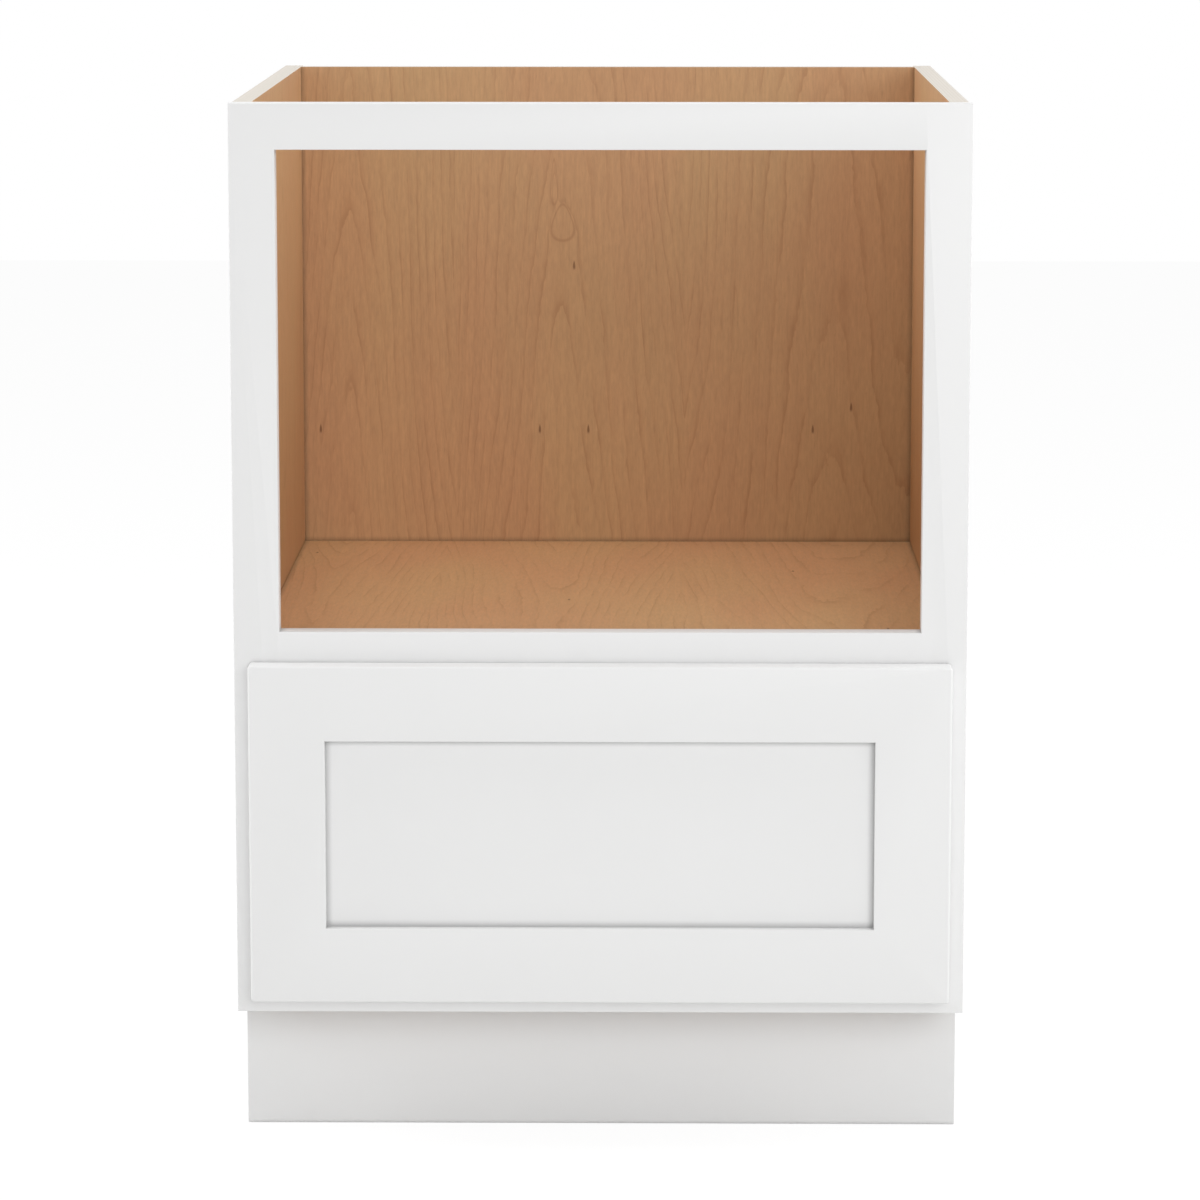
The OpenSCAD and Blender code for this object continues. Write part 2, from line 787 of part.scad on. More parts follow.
module lock_body() {
    plate_z = box_bottom_up - lock_plate_t;
    head_z = lever_z[0] - running;
    color(grey_plastic) difference() {
        at_lock() {
            block([runner_gap, 0, plate_z], [lock_w, lock_l, box_bottom_up]);
            block([runner_gap, 0, lock_low], [lock_w, lock_flange_t, box_bottom_up]);
            translate([pin_at[0], pin_at[1], head_z]) cylinder(r = pin_r, h = plate_z - head_z + cut);
            translate([pin_at[0], pin_at[1], head_z - lock_plate_t])
                cylinder(r = pin_head_r, h = lock_plate_t);
        }
        lock_screw_places(1) pilot(light_screw, light_screw_bite);
    }
}

module release_lever() {
    thickness = lever_z[1] - lever_z[0];
    arm_w = lever_arm[1] - lever_arm[0];
    color(lever_plastic) at_lock() difference() {
        union() {
            translate([0, 0, lever_z[0]]) linear_extrude(thickness) difference() {
                union() {
                    translate(pin_at) circle(lever_boss_r);
                    translate([lever_arm[0], pin_at[1]])
                        square([arm_w, lock_l + finger_t - pin_at[1]]);
                    translate([lever_arm[0], lock_l]) square([arm_w + finger_l, finger_t]);
                    translate([lever_arm[1] + finger_l, lock_l + finger_t / 2]) circle(finger_t / 2);
                }
                for (n = [0 : grip_count - 1])
                    translate([lever_arm[1] + (n + 0.5) * finger_l / grip_count, lock_l]) circle(grip_r);
            }
            translate([0, tooth_y, upper_row_z]) block([-steel_t, -tooth_w / 2, -tooth_half_h],
                [lever_arm[0] + cut, tooth_w / 2, tooth_half_h]);
        }
        translate([pin_at[0], pin_at[1], 0]) cylinder(r = pin_r + fit / 2, h = 2 * box_bottom_up);
    }
}

module lock_screws() {
    color(zinc) for (s = [-1, 1]) lock_screw_places(s)
        wood_screw(light_screw, light_screw_bite);
}

module runner_screws() {
    color(zinc) {
        runner_screw_places() wood_screw(light_screw, light_screw_bite);
        to_left() runner_screw_places() wood_screw(light_screw, light_screw_bite);
    }
}

module bracket_screws() {
    color(zinc) for (s = [-1, 1]) bracket_screw_places(s) wood_screw(light_screw, light_screw_bite);
}

// ---- Nodes ----

to_left() side_panel();  // left_side_panel
side_panel();  // right_side_panel
shelf_panel(bottom_top, bottom_t);  // bottom_panel
shelf_panel(deck_top, deck_t);  // microwave_deck
back_panel();
hanging_rail(cabinet_h - block_drop - hanging_rail_w);  // upper_hanging_rail
hanging_rail(bottom_z);  // lower_hanging_rail
to_left() stile();  // left_stile
stile();  // right_stile
rail(rails()[2]);  // top_rail
rail(rails()[1]);  // middle_rail
rail(rails()[0]);  // bottom_rail
toe_board();
to_left() corner_block();  // left_corner_block
corner_block();  // right_corner_block
frame_pocket_screws();
back_panel_screws();
to_left() cabinet_runner();  // left_cabinet_runner
cabinet_runner();  // right_cabinet_runner
to_left() rear_bracket();  // left_rear_bracket
rear_bracket();  // right_rear_bracket
runner_screws();
bracket_screws();
to_left() damper();  // left_damper
damper();  // right_damper
to_left() middle_runner();  // left_middle_runner
middle_runner();  // right_middle_runner
to_left() cage(lower_row_z, -1);  // left_lower_cage
cage(lower_row_z, -1);  // right_lower_cage
to_left() balls(lower_row_z);  // left_lower_balls
balls(lower_row_z);  // right_lower_balls
to_left() cage(upper_row_z, 1);  // left_upper_cage
cage(upper_row_z, 1);  // right_upper_cage
to_left() balls(upper_row_z);  // left_upper_balls
balls(upper_row_z);  // right_upper_balls
front_rail(front_top_z - front_frame_w, front_top_z, front_top_z - front_frame_w, 1);  // drawer_front_top_rail
front_rail(front_z, front_z + front_frame_w, front_z + front_frame_w, -1);  // drawer_front_bottom_rail
to_left() front_stile();  // drawer_front_left_stile
front_stile();  // drawer_front_right_stile
front_panel();  // drawer_front_panel
to_left() box_side();  // drawer_box_left_side
box_side();  // drawer_box_right_side
box_front();  // drawer_box_front
box_back();  // drawer_box_back
box_bottom();  // drawer_box_bottom
to_left() drawer_runner();  // left_drawer_runner
drawer_runner();  // right_drawer_runner
to_left() lock_body();  // left_lock_body
lock_body();  // right_lock_body
lock_screws();
drawer_front_screws();
drawer_bumpers();
to_left() release_lever();  // left_release_lever
release_lever();  // right_release_lever
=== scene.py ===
import math
from dataclasses import dataclass

import bmesh
import bpy
from bpy.props import FloatProperty, FloatVectorProperty, IntProperty, PointerProperty
from bpy.types import Operator, Panel, PropertyGroup
from mathutils import Matrix, Vector


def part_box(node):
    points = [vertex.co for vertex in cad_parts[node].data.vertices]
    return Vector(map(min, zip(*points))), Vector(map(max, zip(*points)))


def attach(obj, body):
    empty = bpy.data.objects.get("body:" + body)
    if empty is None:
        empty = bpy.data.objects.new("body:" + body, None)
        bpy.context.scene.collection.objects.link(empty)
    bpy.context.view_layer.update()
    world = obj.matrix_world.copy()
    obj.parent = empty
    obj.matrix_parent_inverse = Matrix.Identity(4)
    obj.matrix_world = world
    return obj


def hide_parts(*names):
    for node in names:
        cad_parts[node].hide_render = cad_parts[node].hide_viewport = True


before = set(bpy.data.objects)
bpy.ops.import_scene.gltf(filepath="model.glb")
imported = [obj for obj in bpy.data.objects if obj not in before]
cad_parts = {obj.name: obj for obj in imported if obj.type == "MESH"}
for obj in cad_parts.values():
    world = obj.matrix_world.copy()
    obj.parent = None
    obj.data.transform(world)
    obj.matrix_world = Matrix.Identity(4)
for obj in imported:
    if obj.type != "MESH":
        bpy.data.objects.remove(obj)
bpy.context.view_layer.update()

bl_info = {
    "name": "Microwave base cabinet",
    "version": (1, 0, 0),
    "blender": (4, 5, 0),
    "location": "3D View > Sidebar > Cabinet",
    "description": "Finishes a face-frame base cabinet that has an open bay over one deep drawer",
    "category": "Object",
}

MM = 0.001
# How far a vertex may lie from a plane or a radius and still count as on it
SLACK = 0.01 * MM
# From how many radians between its faces an edge counts as sharp
SHARP = 0.5
AXES = "XYZ"
SIDES = ("left", "right")


def srgb(red, green, blue):
    """A display colour from 0 to 255, as the linear colour that Blender works in."""
    return tuple(((c / 255 + 0.055) / 1.055) ** 2.4 for c in (red, green, blue))


def label(name):
    """A Python name, as people read it."""
    return name.replace("_", " ").capitalize()


def number_property(name, description, default, **options):
    return FloatProperty(name=name, description=description, default=default, **options)


def share_property(name, description, default):
    return number_property(name, description, default, min=0, max=1, subtype="FACTOR")


def power_property(name, description, default):
    return number_property(name, description, default, min=0, subtype="POWER")


def angle_property(name, description, degrees):
    return number_property(name, description, math.radians(degrees), subtype="ANGLE")


def length_property(name, description, default):
    options = {"min": 0, "unit": "LENGTH", "subtype": "DISTANCE", "precision": 5}
    return number_property(name, description, default, **options)


def colour_property(name, description, display):
    return FloatVectorProperty(
        name=name, description=description, default=srgb(*display), min=0, max=1, subtype="COLOR"
    )


def place_property(name, description, default):
    return FloatVectorProperty(
        name=name, description=description, default=default, unit="LENGTH", subtype="TRANSLATION"
    )


# ---- Settings ----


class StageSettings(PropertyGroup):
    """The floor, the studio's light and the camera."""

    floor_width: length_property("Floor width", "Length of each side of the floor", 16)
    floor_colour: colour_property("Floor colour", "Paint of the studio's floor", (232, 232, 231))
    floor_glow: share_property(
        "Floor glow", "Share of the floor's white that no shadow darkens", 0.9
    )
    dome: number_property("Dome", "Strength of the even light from all round", 0.53, min=0)
    key_power: power_property("Key power", "Power of the wide soft box in front", 48.3)
    top_power: power_property("Top power", "Power of the soft box overhead", 28.5)
    left_power: power_property("Left power", "Power of the soft box on the left", 70)
    right_power: power_property("Right power", "Power of the soft box on the right", 56)
    key_turn: angle_property(
        "Key turn", "How far to the right of the front the wide soft box stands", 18
    )
    lamp_distance: length_property("Lamp distance", "From each lamp to the point it faces", 4)
    lamp_width: length_property("Lamp width", "Side of a square soft box", 1.8)
    lamp_aim: place_property("Lamp aim", "Point that the lamps face", (0, 0, 0.5))
    camera_place: place_property(
        "Camera place", "Where the camera stands", (0.0481, -4.313, 1.1095)
    )
    camera_turn: angle_property("Camera turn", "How far the camera is turned to the left", 0.686)
    camera_dip: angle_property("Camera dip", "How far the camera looks down", 9.104)
    camera_lens: number_property(
        "Camera lens", "Focal length in millimetres", 147.12, min=1, unit="CAMERA"
    )


class PaintSettings(PropertyGroup):
    """The sprayed white paint of the frame, the drawer front, the toe board and the sides."""

    colour: colour_property("Colour", "Colour of the white paint", (233, 233, 233))
    roughness: share_property("Roughness", "How satin the paint is", 0.42)
    peel_width: length_property("Peel width", "Width of the spray's soft ripples", 2.2 * MM)
    peel_depth: length_property("Peel depth", "Depth of the spray's soft ripples", 0.012 * MM)
    arris: length_property("Arris", "Width of the sanded edges of the face frame", 0.7 * MM)
    front_edge: length_property("Front edge", "Radius of the drawer front's outer edges", 2.2 * MM)
    corner: length_property("Corner", "Radius of the drawer front's corners", 3 * MM)
    # Shade painted into the paint's inner corners: how dark it is, and how far it reaches from a
    # corner
    settling: share_property(
        "Settling", "How much the paint darkens where it has settled in corners", 0.45
    )
    settling_reach: length_property("Settling reach", "How far that reaches from a corner", 6 * MM)


class MapleSettings(PropertyGroup):
    """The maple of the veneered panels and of the solid boards."""

    veneer: colour_property("Veneer", "Lacquered maple veneer", (199, 162, 120))
    veneer_warm: colour_property("Warm veneer", "Redder stretches of the veneer", (199, 156, 117))
    veneer_line: colour_property(
        "Veneer line", "Edge of a growth ring in the veneer", (163, 119, 82)
    )
    board: colour_property("Board", "Lacquered solid maple", (224, 193, 155))
    board_warm: colour_property("Warm board", "Redder stretches of a solid board", (219, 182, 144))
    board_line: colour_property("Board line", "Edge of a growth ring in a board", (193, 152, 114))
    fleck: colour_property("Fleck", "Short dark mineral flecks", (92, 54, 34))
    ply: colour_property("Ply", "Pale edge of the plywood", (223, 218, 210))
    ply_cross: colour_property("Cross ply", "Plies that show their end grain", (217, 210, 200))
    glue: colour_property("Glue", "Thin glue line between plies", (198, 186, 167))
    ply_thickness: length_property("Ply thickness", "Thickness of one ply", 1.45 * MM)
    ring_pitch: length_property("Ring pitch", "Distance between growth rings in a board", 4.6 * MM)
    veneer_line_strength: share_property(
        "Veneer line strength", "How plain the growth rings are in veneer", 0.42
    )
    board_line_strength: share_property(
        "Board line strength", "How plain the growth rings are in a board", 0.6
    )
    eye_lift: share_property("Eye lift", "How many rings a teardrop in the figure lifts", 0.7)
    eye_outline: share_property("Eye outline", "How plain the line round a teardrop is", 0.4)
    fleck_strength: share_property("Fleck strength", "How dark the mineral flecks are", 0.65)
    relief: length_property("Relief", "Depth of the pores under the lacquer", 0.03 * MM)
    sheen: share_property("Sheen", "Strength of the lacquer's reflection", 0.2)
    end_roughness: share_property("End roughness", "How dull a board's end grain is", 0.62)
    ply_roughness: share_property("Ply roughness", "How dull the plywood's edge is", 0.6)
    # Shade painted into the lacquer's inner corners: how dark it is, and how far it reaches from a
    # corner
    settling: share_property(
        "Settling", "How much the lacquer darkens where it has settled in corners", 0.45
    )
    settling_reach: length_property("Settling reach", "How far that reaches from a corner", 5 * MM)


class MetalSettings(PropertyGroup):
    """Zinc-plated runners, screws and hardened balls."""

    zinc: colour_property("Zinc", "Zinc-plated steel sheet", (206, 209, 212))
    zinc_roughness: share_property("Zinc roughness", "How dull the zinc is", 0.34)
    screw: colour_property("Screw", "Yellow-passivated screws", (201, 190, 160))
    screw_roughness: share_property("Screw roughness", "How dull the screws are", 0.3)
    ball: colour_property("Ball", "Hardened ball steel", (218, 219, 221))
    ball_roughness: share_property("Ball roughness", "How dull the balls are", 0.14)


class PlasticSettings(PropertyGroup):
    """Moulded parts of the runners, and the clear bumpers."""

    grey: colour_property("Grey", "Brackets, dampers, locks and cages", (122, 126, 130))
    grey_roughness: share_property("Grey roughness", "How dull the grey parts are", 0.46)
    lever: colour_property("Lever", "Release levers", (203, 205, 203))
    lever_roughness: share_property("Lever roughness", "How dull the levers are", 0.4)
    rubber: colour_property("Rubber", "Clear bumpers", (228, 230, 228))
    rubber_roughness: share_property("Rubber roughness", "How dull the bumpers are", 0.3)
    grain_depth: length_property("Grain depth", "Depth of the mould's grain", 0.015 * MM)


class ScrewSettings(PropertyGroup):
    """What every screw has besides its own length and radii."""

    sides: IntProperty(name="Sides", description="Sides of a screw's round", default=28, min=8)
    thread_pitch: length_property("Thread pitch", "Distance between turns of the thread", 1.8 * MM)
    thread_start: share_property("Thread start", "Share of the shank that has no thread", 0.25)
    core: share_property("Core", "The core's share of the thread's radius", 0.7)
    tip: number_property("Tip", "The point's length over the shank's radius", 3, min=0)
    tip_width: share_property("Tip width", "The point's end over the core's radius", 0.15)
    drive: share_property("Drive", "Half the square drive's side over the head's radius", 0.36)
    drive_depth: share_property("Drive depth", "The drive's depth over the head's height", 0.7)
    drive_taper: share_property(
        "Drive taper", "The drive's width at its far end over that at its mouth", 0.85
    )
    flush_rounding: share_property(
        "Flush rounding", "A flush head's rounding over its height", 0.06
    )
    dome_rounding: share_property("Dome rounding", "A raised head's rounding over its height", 0.5)


class CabinetSettings(PropertyGroup):
    """All the settings of the cabinet."""

    stage: PointerProperty(type=StageSettings)
    paint: PointerProperty(type=PaintSettings)
    maple: PointerProperty(type=MapleSettings)
    metal: PointerProperty(type=MetalSettings)
    plastic: PointerProperty(type=PlasticSettings)
    screw: PointerProperty(type=ScrewSettings)


def settings():
    return bpy.context.scene.cabinet


# ---- Shader nodes ----


class Nodes:
    """Adds nodes to one tree. An input is fed by its name or number, with a value or a socket."""

    def __init__(self, tree):
        self.tree = tree

    def add(self, kind, inputs, **options):
        node = self.tree.nodes.new(kind)
        for name, value in options.items():
            setattr(node, name, value)
        for key, value in inputs.items():
            if isinstance(value, bpy.types.NodeSocket):
                self.tree.links.new(value, node.inputs[key])
            else:
                node.inputs[key].default_value = value
        return node

    def math(self, operation, *values):
        return self.add("ShaderNodeMath", dict(enumerate(values)), operation=operation).outputs[0]

    def vector(self, operation, *values):
        inputs = dict(enumerate(values))
        return self.add("ShaderNodeVectorMath", inputs, operation=operation).outputs[0]

    def split(self, vector):
        return self.add("ShaderNodeSeparateXYZ", {0: vector}).outputs

    def join(self, x, y, z):
        return self.add("ShaderNodeCombineXYZ", {0: x, 1: y, 2: z}).outputs[0]

    def noise(self, place, cell, seed=0.0, detail=2.0, roughness=0.5):
        """Soft noise from 0 to 1, with features of about cell, which is in metres and one number
        or one for each way."""
        scaled = self.vector("DIVIDE", place, (cell,) * 3 if isinstance(cell, float) else cell)
        inputs = {"Vector": scaled, "W": seed, "Scale": 1.0, "Detail": detail,
                  "Roughness": roughness}
        return self.add("ShaderNodeTexNoise", inputs, noise_dimensions="4D").outputs["Fac"]

    def spread(self, value, low, high, to_low=0.0, to_high=1.0, smooth=True):
        """value's stretch from low to high, spread over to_low to to_high and held beyond."""
        inputs = {"Value": value, "From Min": low, "From Max": high, "To Min": to_low,
                  "To Max": to_high}
        kind = "SMOOTHSTEP" if smooth else "LINEAR"
        return self.add("ShaderNodeMapRange", inputs, interpolation_type=kind).outputs["Result"]

    def blend(self, share, first, second, mode="MIX"):
        """first, turned to second by share, for colours."""
        inputs = {0: share, 6: first, 7: second}
        return self.add("ShaderNodeMix", inputs, data_type="RGBA", blend_type=mode).outputs[2]

    def fade(self, share, first, second):
        """first, turned to second by share, for numbers."""
        return self.add("ShaderNodeMix", {0: share, 2: first, 3: second}).outputs[0]

    def vary(self, base, noise, amount):
        """base, moved up and down by noise, in all by about amount."""
        return self.math("MULTIPLY_ADD", self.math("SUBTRACT", noise, 0.5), amount, base)

    def shaded(self, colour, shade):
        """colour times a number."""
        return self.blend(1.0, colour, self.join(shade, shade, shade), "MULTIPLY")

    def mix_shaders(self, share, first, second):
        return self.add("ShaderNodeMixShader", {0: share, 1: first, 2: second}).outputs[0]

    def group(self, build, **inputs):
        """The outputs of the group that build makes."""
        inputs = {label(name): value for name, value in inputs.items()}
        return self.add("ShaderNodeGroup", inputs, node_tree=shared_group(build)).outputs


VECTOR, NUMBER, COLOUR = "NodeSocketVector", "NodeSocketFloat", "NodeSocketColor"


def shared_group(build):
    """The node group that build makes, made the first time and shared after that. build's arguments
    after its node helper are the group's inputs, annotated with their kinds, and what it returns
    are the group's outputs."""
    name = label(build.__name__)
    tree = bpy.data.node_groups.get(name)
    if tree is None:
        tree = bpy.data.node_groups.new(name, "ShaderNodeTree")
        kinds = build.__annotations__
        for key, kind in kinds.items():
            tree.interface.new_socket(name=label(key), in_out="INPUT", socket_type=kind)
        given = tree.nodes.new("NodeGroupInput").outputs
        nodes = Nodes(tree)
        results = build(nodes, **{key: given[label(key)] for key in kinds})
        for key in results:
            kind = COLOUR if key == "Color" else NUMBER
            tree.interface.new_socket(name=key, in_out="OUTPUT", socket_type=kind)
        nodes.add("NodeGroupOutput", results)
    return tree


def veneer_rings(
    n, place: VECTOR, seed: NUMBER, arch_centre: NUMBER, arch_width: NUMBER, arch_skew: NUMBER,
    arch_lines: NUMBER, rise: NUMBER,
):
    """Arches about a middle line, as flat-cut veneer has, with a ring at each whole number."""
    drift = n.noise(place, (0.2, 1.0, 0.8), seed, 0)
    across, _, along = n.split(place)
    wandering = n.vary(across, drift, 0.05)
    turn = n.math("DIVIDE", n.math("SUBTRACT", wandering, arch_centre), arch_width)
    turn = n.math("MULTIPLY", turn, n.math("MULTIPLY_ADD", turn, arch_skew, 1.0))
    fall = n.math("POWER", n.math("MULTIPLY", n.math("PINGPONG", turn, 0.5), 2.0), 1.4)
    arch = n.math("MULTIPLY", n.math("MULTIPLY", fall, -1.0), arch_lines)
    swell = n.noise(place, (0.06, 1.0, 0.34), n.math("ADD", seed, 5), 0)
    ripple = n.noise(place, (0.02, 1.0, 0.06), n.math("ADD", seed, 9), 1)
    jitter = n.noise(place, (0.004, 1.0, 0.011), seed, 1)
    rings = n.vary(arch, swell, 3.4)
    rings = n.vary(rings, ripple, 0.6)
    rings = n.vary(rings, jitter, 0.24)
    return {"Rings": n.math("SUBTRACT", rings, n.math("MULTIPLY", along, rise))}


def board_rings(n, place: VECTOR, heart: VECTOR, seed: NUMBER, pitch: NUMBER, rise: NUMBER):
    """Rings round a heart, as a board is sawn from the tree, with one at each whole number."""
    bend = n.noise(place, (0.3, 0.3, 0.7), seed, 1)
    across, through, along = n.split(n.vector("SUBTRACT", place, heart))
    across = n.vary(across, bend, 0.08)
    radius = n.math("SQRT", n.math("ADD", n.math("POWER", across, 2), n.math("POWER", through, 2)))
    swell = n.noise(place, (0.03, 0.03, 0.2), n.math("ADD", seed, 3))
    rings = n.vary(n.math("DIVIDE", radius, pitch), swell, 2.4)
    return {"Rings": n.math("SUBTRACT", rings, n.math("MULTIPLY", along, rise))}


def grain_eye(n, place: VECTOR, middle: VECTOR, reach: VECTOR):
    """A teardrop in the figure: how far it lifts the rings, and a mask of its outline."""
    away = n.vector("DIVIDE", n.vector("SUBTRACT", place, middle), reach)
    across, _, along = n.split(away)
    across = n.math("MULTIPLY", across, n.math("EXPONENT", n.math("MULTIPLY", along, 0.5)))
    square = n.math("ADD", n.math("POWER", across, 2), n.math("POWER", along, 2))
    rim = n.math("ABSOLUTE", n.math("SUBTRACT", n.math("SQRT", square), 1.0))
    rise = n.math("EXPONENT", n.math("MULTIPLY", square, -1))
    return {"Rise": rise, "Rim": n.spread(rim, 0.0, 0.14, 1.0, 0.0)}


def maple_finish(
    n, place: VECTOR, rings: NUMBER, seed: NUMBER, line_strength: NUMBER, fleck_mask: NUMBER,
    wood: COLOUR, warm: COLOUR, line: COLOUR, fleck: COLOUR,
):
    """Lacquered maple: the late wood of its rings, streaks, silk, fibres, pores and flecks."""
    late = n.math("FRACT", rings)
    shading = n.math("POWER", n.spread(late, 0.2, 0.95), 1.6)
    core = n.math("POWER", n.spread(late, 0.72, 0.96), 2.0)
    edge = n.math("MULTIPLY_ADD", core, 0.72, n.math("MULTIPLY", shading, 0.28))
    edge = n.math("MULTIPLY", edge, n.spread(late, 0.97, 1.0, 1.0, 0.0))
    patches = n.noise(place, (0.02, 0.05, 0.09), n.math("ADD", seed, 2), 3, 0.6)
    presence = n.spread(patches, 0.38, 0.64, 0.1, 1)
    mark = n.math("MULTIPLY", n.math("MULTIPLY", edge, presence), line_strength)

    drift = n.noise(place, (0.11, 0.2, 0.3), n.math("ADD", seed, 4))
    streak = n.noise(place, (0.006, 0.02, 0.3), seed, 3, 0.6)
    silk = n.noise(place, (0.0019, 0.02, 0.011), n.math("ADD", seed, 6), 2, 0.6)
    fibre = n.noise(place, (0.0012, 0.0012, 0.024), seed, 2, 0.6)
    pore = n.noise(place, (0.0008, 0.0008, 0.009), n.math("ADD", seed, 7), 1)
    tick = n.spread(pore, 0.62, 0.74)

    shade = n.vary(1.0, streak, 0.16)
    shade = n.vary(shade, silk, 0.3)
    shade = n.vary(shade, fibre, 0.16)
    shade = n.math("MULTIPLY_ADD", tick, -0.07, shade)
    colour = n.shaded(n.blend(n.spread(drift, 0.3, 0.7), wood, warm), shade)
    colour = n.blend(fleck_mask, n.blend(mark, colour, line), fleck)

    roughness = n.spread(fibre, 0.2, 0.8, 0.4, 0.5, smooth=False)
    height = n.math("MULTIPLY_ADD", fibre, 0.5, n.math("MULTIPLY", tick, -0.7))
    height = n.math("MULTIPLY_ADD", mark, -0.35, height)
    return {"Color": colour, "Roughness": roughness, "Height": height}


def ply_edge(
    n, place: VECTOR, low_face: NUMBER, ply: NUMBER, long: COLOUR, cross: COLOUR, glue: COLOUR,
):
    """Plywood's edge: plies of long and of end grain in turn, with glue between them."""
    through = n.split(place)[1]
    wave = n.noise(place, 0.03)
    depth = n.vary(n.math("DIVIDE", n.math("SUBTRACT", through, low_face), ply), wave, 0.25)
    is_cross = n.math("GREATER_THAN", n.math("PINGPONG", depth, 1.0), 0.5)
    seam = n.math("ABSOLUTE", n.math("SUBTRACT", n.math("FRACT", n.math("ADD", depth, 0.5)), 0.5))
    is_glue = n.spread(seam, 0.02, 0.09, 0.75, 0.0)
    dots = n.noise(place, 0.0005, 1)
    streak = n.noise(place, (0.02, 0.0004, 0.02), 2)
    grain = n.fade(is_cross, streak, dots)
    colour = n.blend(is_glue, n.blend(is_cross, long, cross), glue)
    colour = n.shaded(colour, n.vary(1.0, grain, 0.16))
    return {"Color": colour, "Height": n.math("SUBTRACT", grain, is_glue)}


def sprayed_paint(n, place: VECTOR, paint: COLOUR, satin: NUMBER, peel_width: NUMBER):
    """Satin paint with the soft ripples that spraying leaves."""
    peel = n.noise(place, peel_width, 0, 2, 0.45)
    mottle = n.noise(place, 0.06, 3, 3)
    colour = n.shaded(paint, n.vary(1.0, mottle, 0.014))
    return {"Color": colour, "Roughness": n.vary(satin, mottle, 0.08), "Height": peel}


def rolled_metal(n, place: VECTOR, metal: COLOUR, roll: VECTOR, dull: NUMBER):
    """Plated metal: rolling marks, dull clouds and the plating's crystals."""
    marks = n.noise(place, roll, 0, 3, 0.6)
    cloud = n.noise(place, 0.009, 2, 3)
    spangle = {"Vector": n.vector("DIVIDE", place, (0.0035,) * 3), "Scale": 1.0}
    crystals = n.add("ShaderNodeTexVoronoi", spangle).outputs["Color"]
    facet = n.add("ShaderNodeSeparateColor", {0: crystals}).outputs[0]
    shade = n.vary(n.vary(0.97, marks, 0.14), facet, 0.05)
    roughness = n.vary(n.vary(dull, cloud, 0.22), marks, 0.12)
    return {"Color": n.shaded(metal, shade), "Roughness": roughness, "Height": marks}


def moulded_grain(n, place: VECTOR, plastic: COLOUR, dull: NUMBER):
    """Plastic with a fine grain and faint flow marks from its mould."""
    spark = n.noise(place, 0.0005)
    flow = n.noise(place, 0.02, 4, 3)
    colour = n.shaded(plastic, n.vary(n.vary(1.0, flow, 0.08), spark, 0.05))
    return {"Color": colour, "Roughness": n.vary(dull, flow, 0.15), "Height": spark}


# ---- Materials ----


def new_material(name):
    """An empty material, its node helper and its object coordinates."""
    material = bpy.data.materials.new(name)
    material.use_nodes = True
    material.node_tree.nodes.clear()
    nodes = Nodes(material.node_tree)
    coordinates = nodes.add("ShaderNodeTexCoord", {}).outputs
    return material, nodes, coordinates


def surface(nodes, finish, bump, **constants):
    """Ends a material in one shader, from a finish's colour, roughness and height, with a relief
    bump metres deep."""
    relief = {"Strength": 1.0, "Distance": bump, "Height": finish["Height"]}
    inputs = {"Base Color": finish["Color"], "Roughness": finish["Roughness"],
              "Normal": nodes.add("ShaderNodeBump", relief).outputs[0]}
    inputs.update({name.replace("_", " "): value for name, value in constants.items()})
    shader = nodes.add("ShaderNodeBsdfPrincipled", inputs)
    nodes.add("ShaderNodeOutputMaterial", {"Surface": shader.outputs[0]})


def settled(nodes, colour, values, only_local):
    """colour with shade painted into its inner corners, as the settings in values say. only_local
    leaves out the corners that a piece makes with others, for one that others move past."""
    reach = {"Distance": values.settling_reach}
    # The corners' ambient occlusion, painted into the colour as shade
    corners = nodes.add("ShaderNodeAmbientOcclusion", reach, samples=6, only_local=only_local)
    shade = nodes.spread(corners.outputs["AO"], 0.4, 1.0, 1 - values.settling, 1.0, smooth=False)
    return nodes.shaded(colour, shade)


def paint_finish(nodes, place):
    paint = settings().paint
    return nodes.group(
        sprayed_paint, place=place, paint=(*paint.colour, 1), satin=paint.roughness,
        peel_width=paint.peel_width,
    )


def paint_material(name):
    """White paint, sprayed on, with shade painted into its inner corners."""
    paint = settings().paint
    material, nodes, coordinates = new_material(name)
    finish = dict(paint_finish(nodes, coordinates["Object"]).items())
    # Shade painted into the paint's inner corners
    finish["Color"] = settled(nodes, finish["Color"], paint, only_local=True)
    surface(nodes, finish, paint.peel_depth)
    return material


def grain_space(nodes, vector, axes):
    """vector's parts across the grain, through the board and along the grain, by the board's
    axes."""
    parts = nodes.split(vector)
    return nodes.join(*(parts[AXES.index(axis)] for axis in axes))


def facing(nodes, coordinates, axis, sign=0):
    """1 where a face looks along an axis, either way or only the way of sign."""
    part = nodes.split(coordinates["Normal"])[AXES.index(axis)]
    part = nodes.math("MULTIPLY", part, sign) if sign else nodes.math("ABSOLUTE", part)
    return nodes.math("GREATER_THAN", part, 0.5)


def mix_finishes(nodes, share, first, second):
    """first's colour, roughness and height, turned to second's by share."""
    return {
        "Color": nodes.blend(share, first["Color"], second["Color"]),
        "Roughness": nodes.fade(share, first["Roughness"], second["Roughness"]),
        "Height": nodes.fade(share, first["Height"], second["Height"]),
    }


def maple_wood(nodes, kind, **inputs):
    """Maple's finish, with the colours and the line strength of kind, which is veneer or board."""
    maple = settings().maple
    names = {"wood": kind, "warm": kind + "_warm", "line": kind + "_line", "fleck": "fleck"}
    inputs.update({key: (*getattr(maple, name), 1) for key, name in names.items()})
    strength = getattr(maple, kind + "_line_strength")
    return dict(nodes.group(maple_finish, line_strength=strength, **inputs).items())


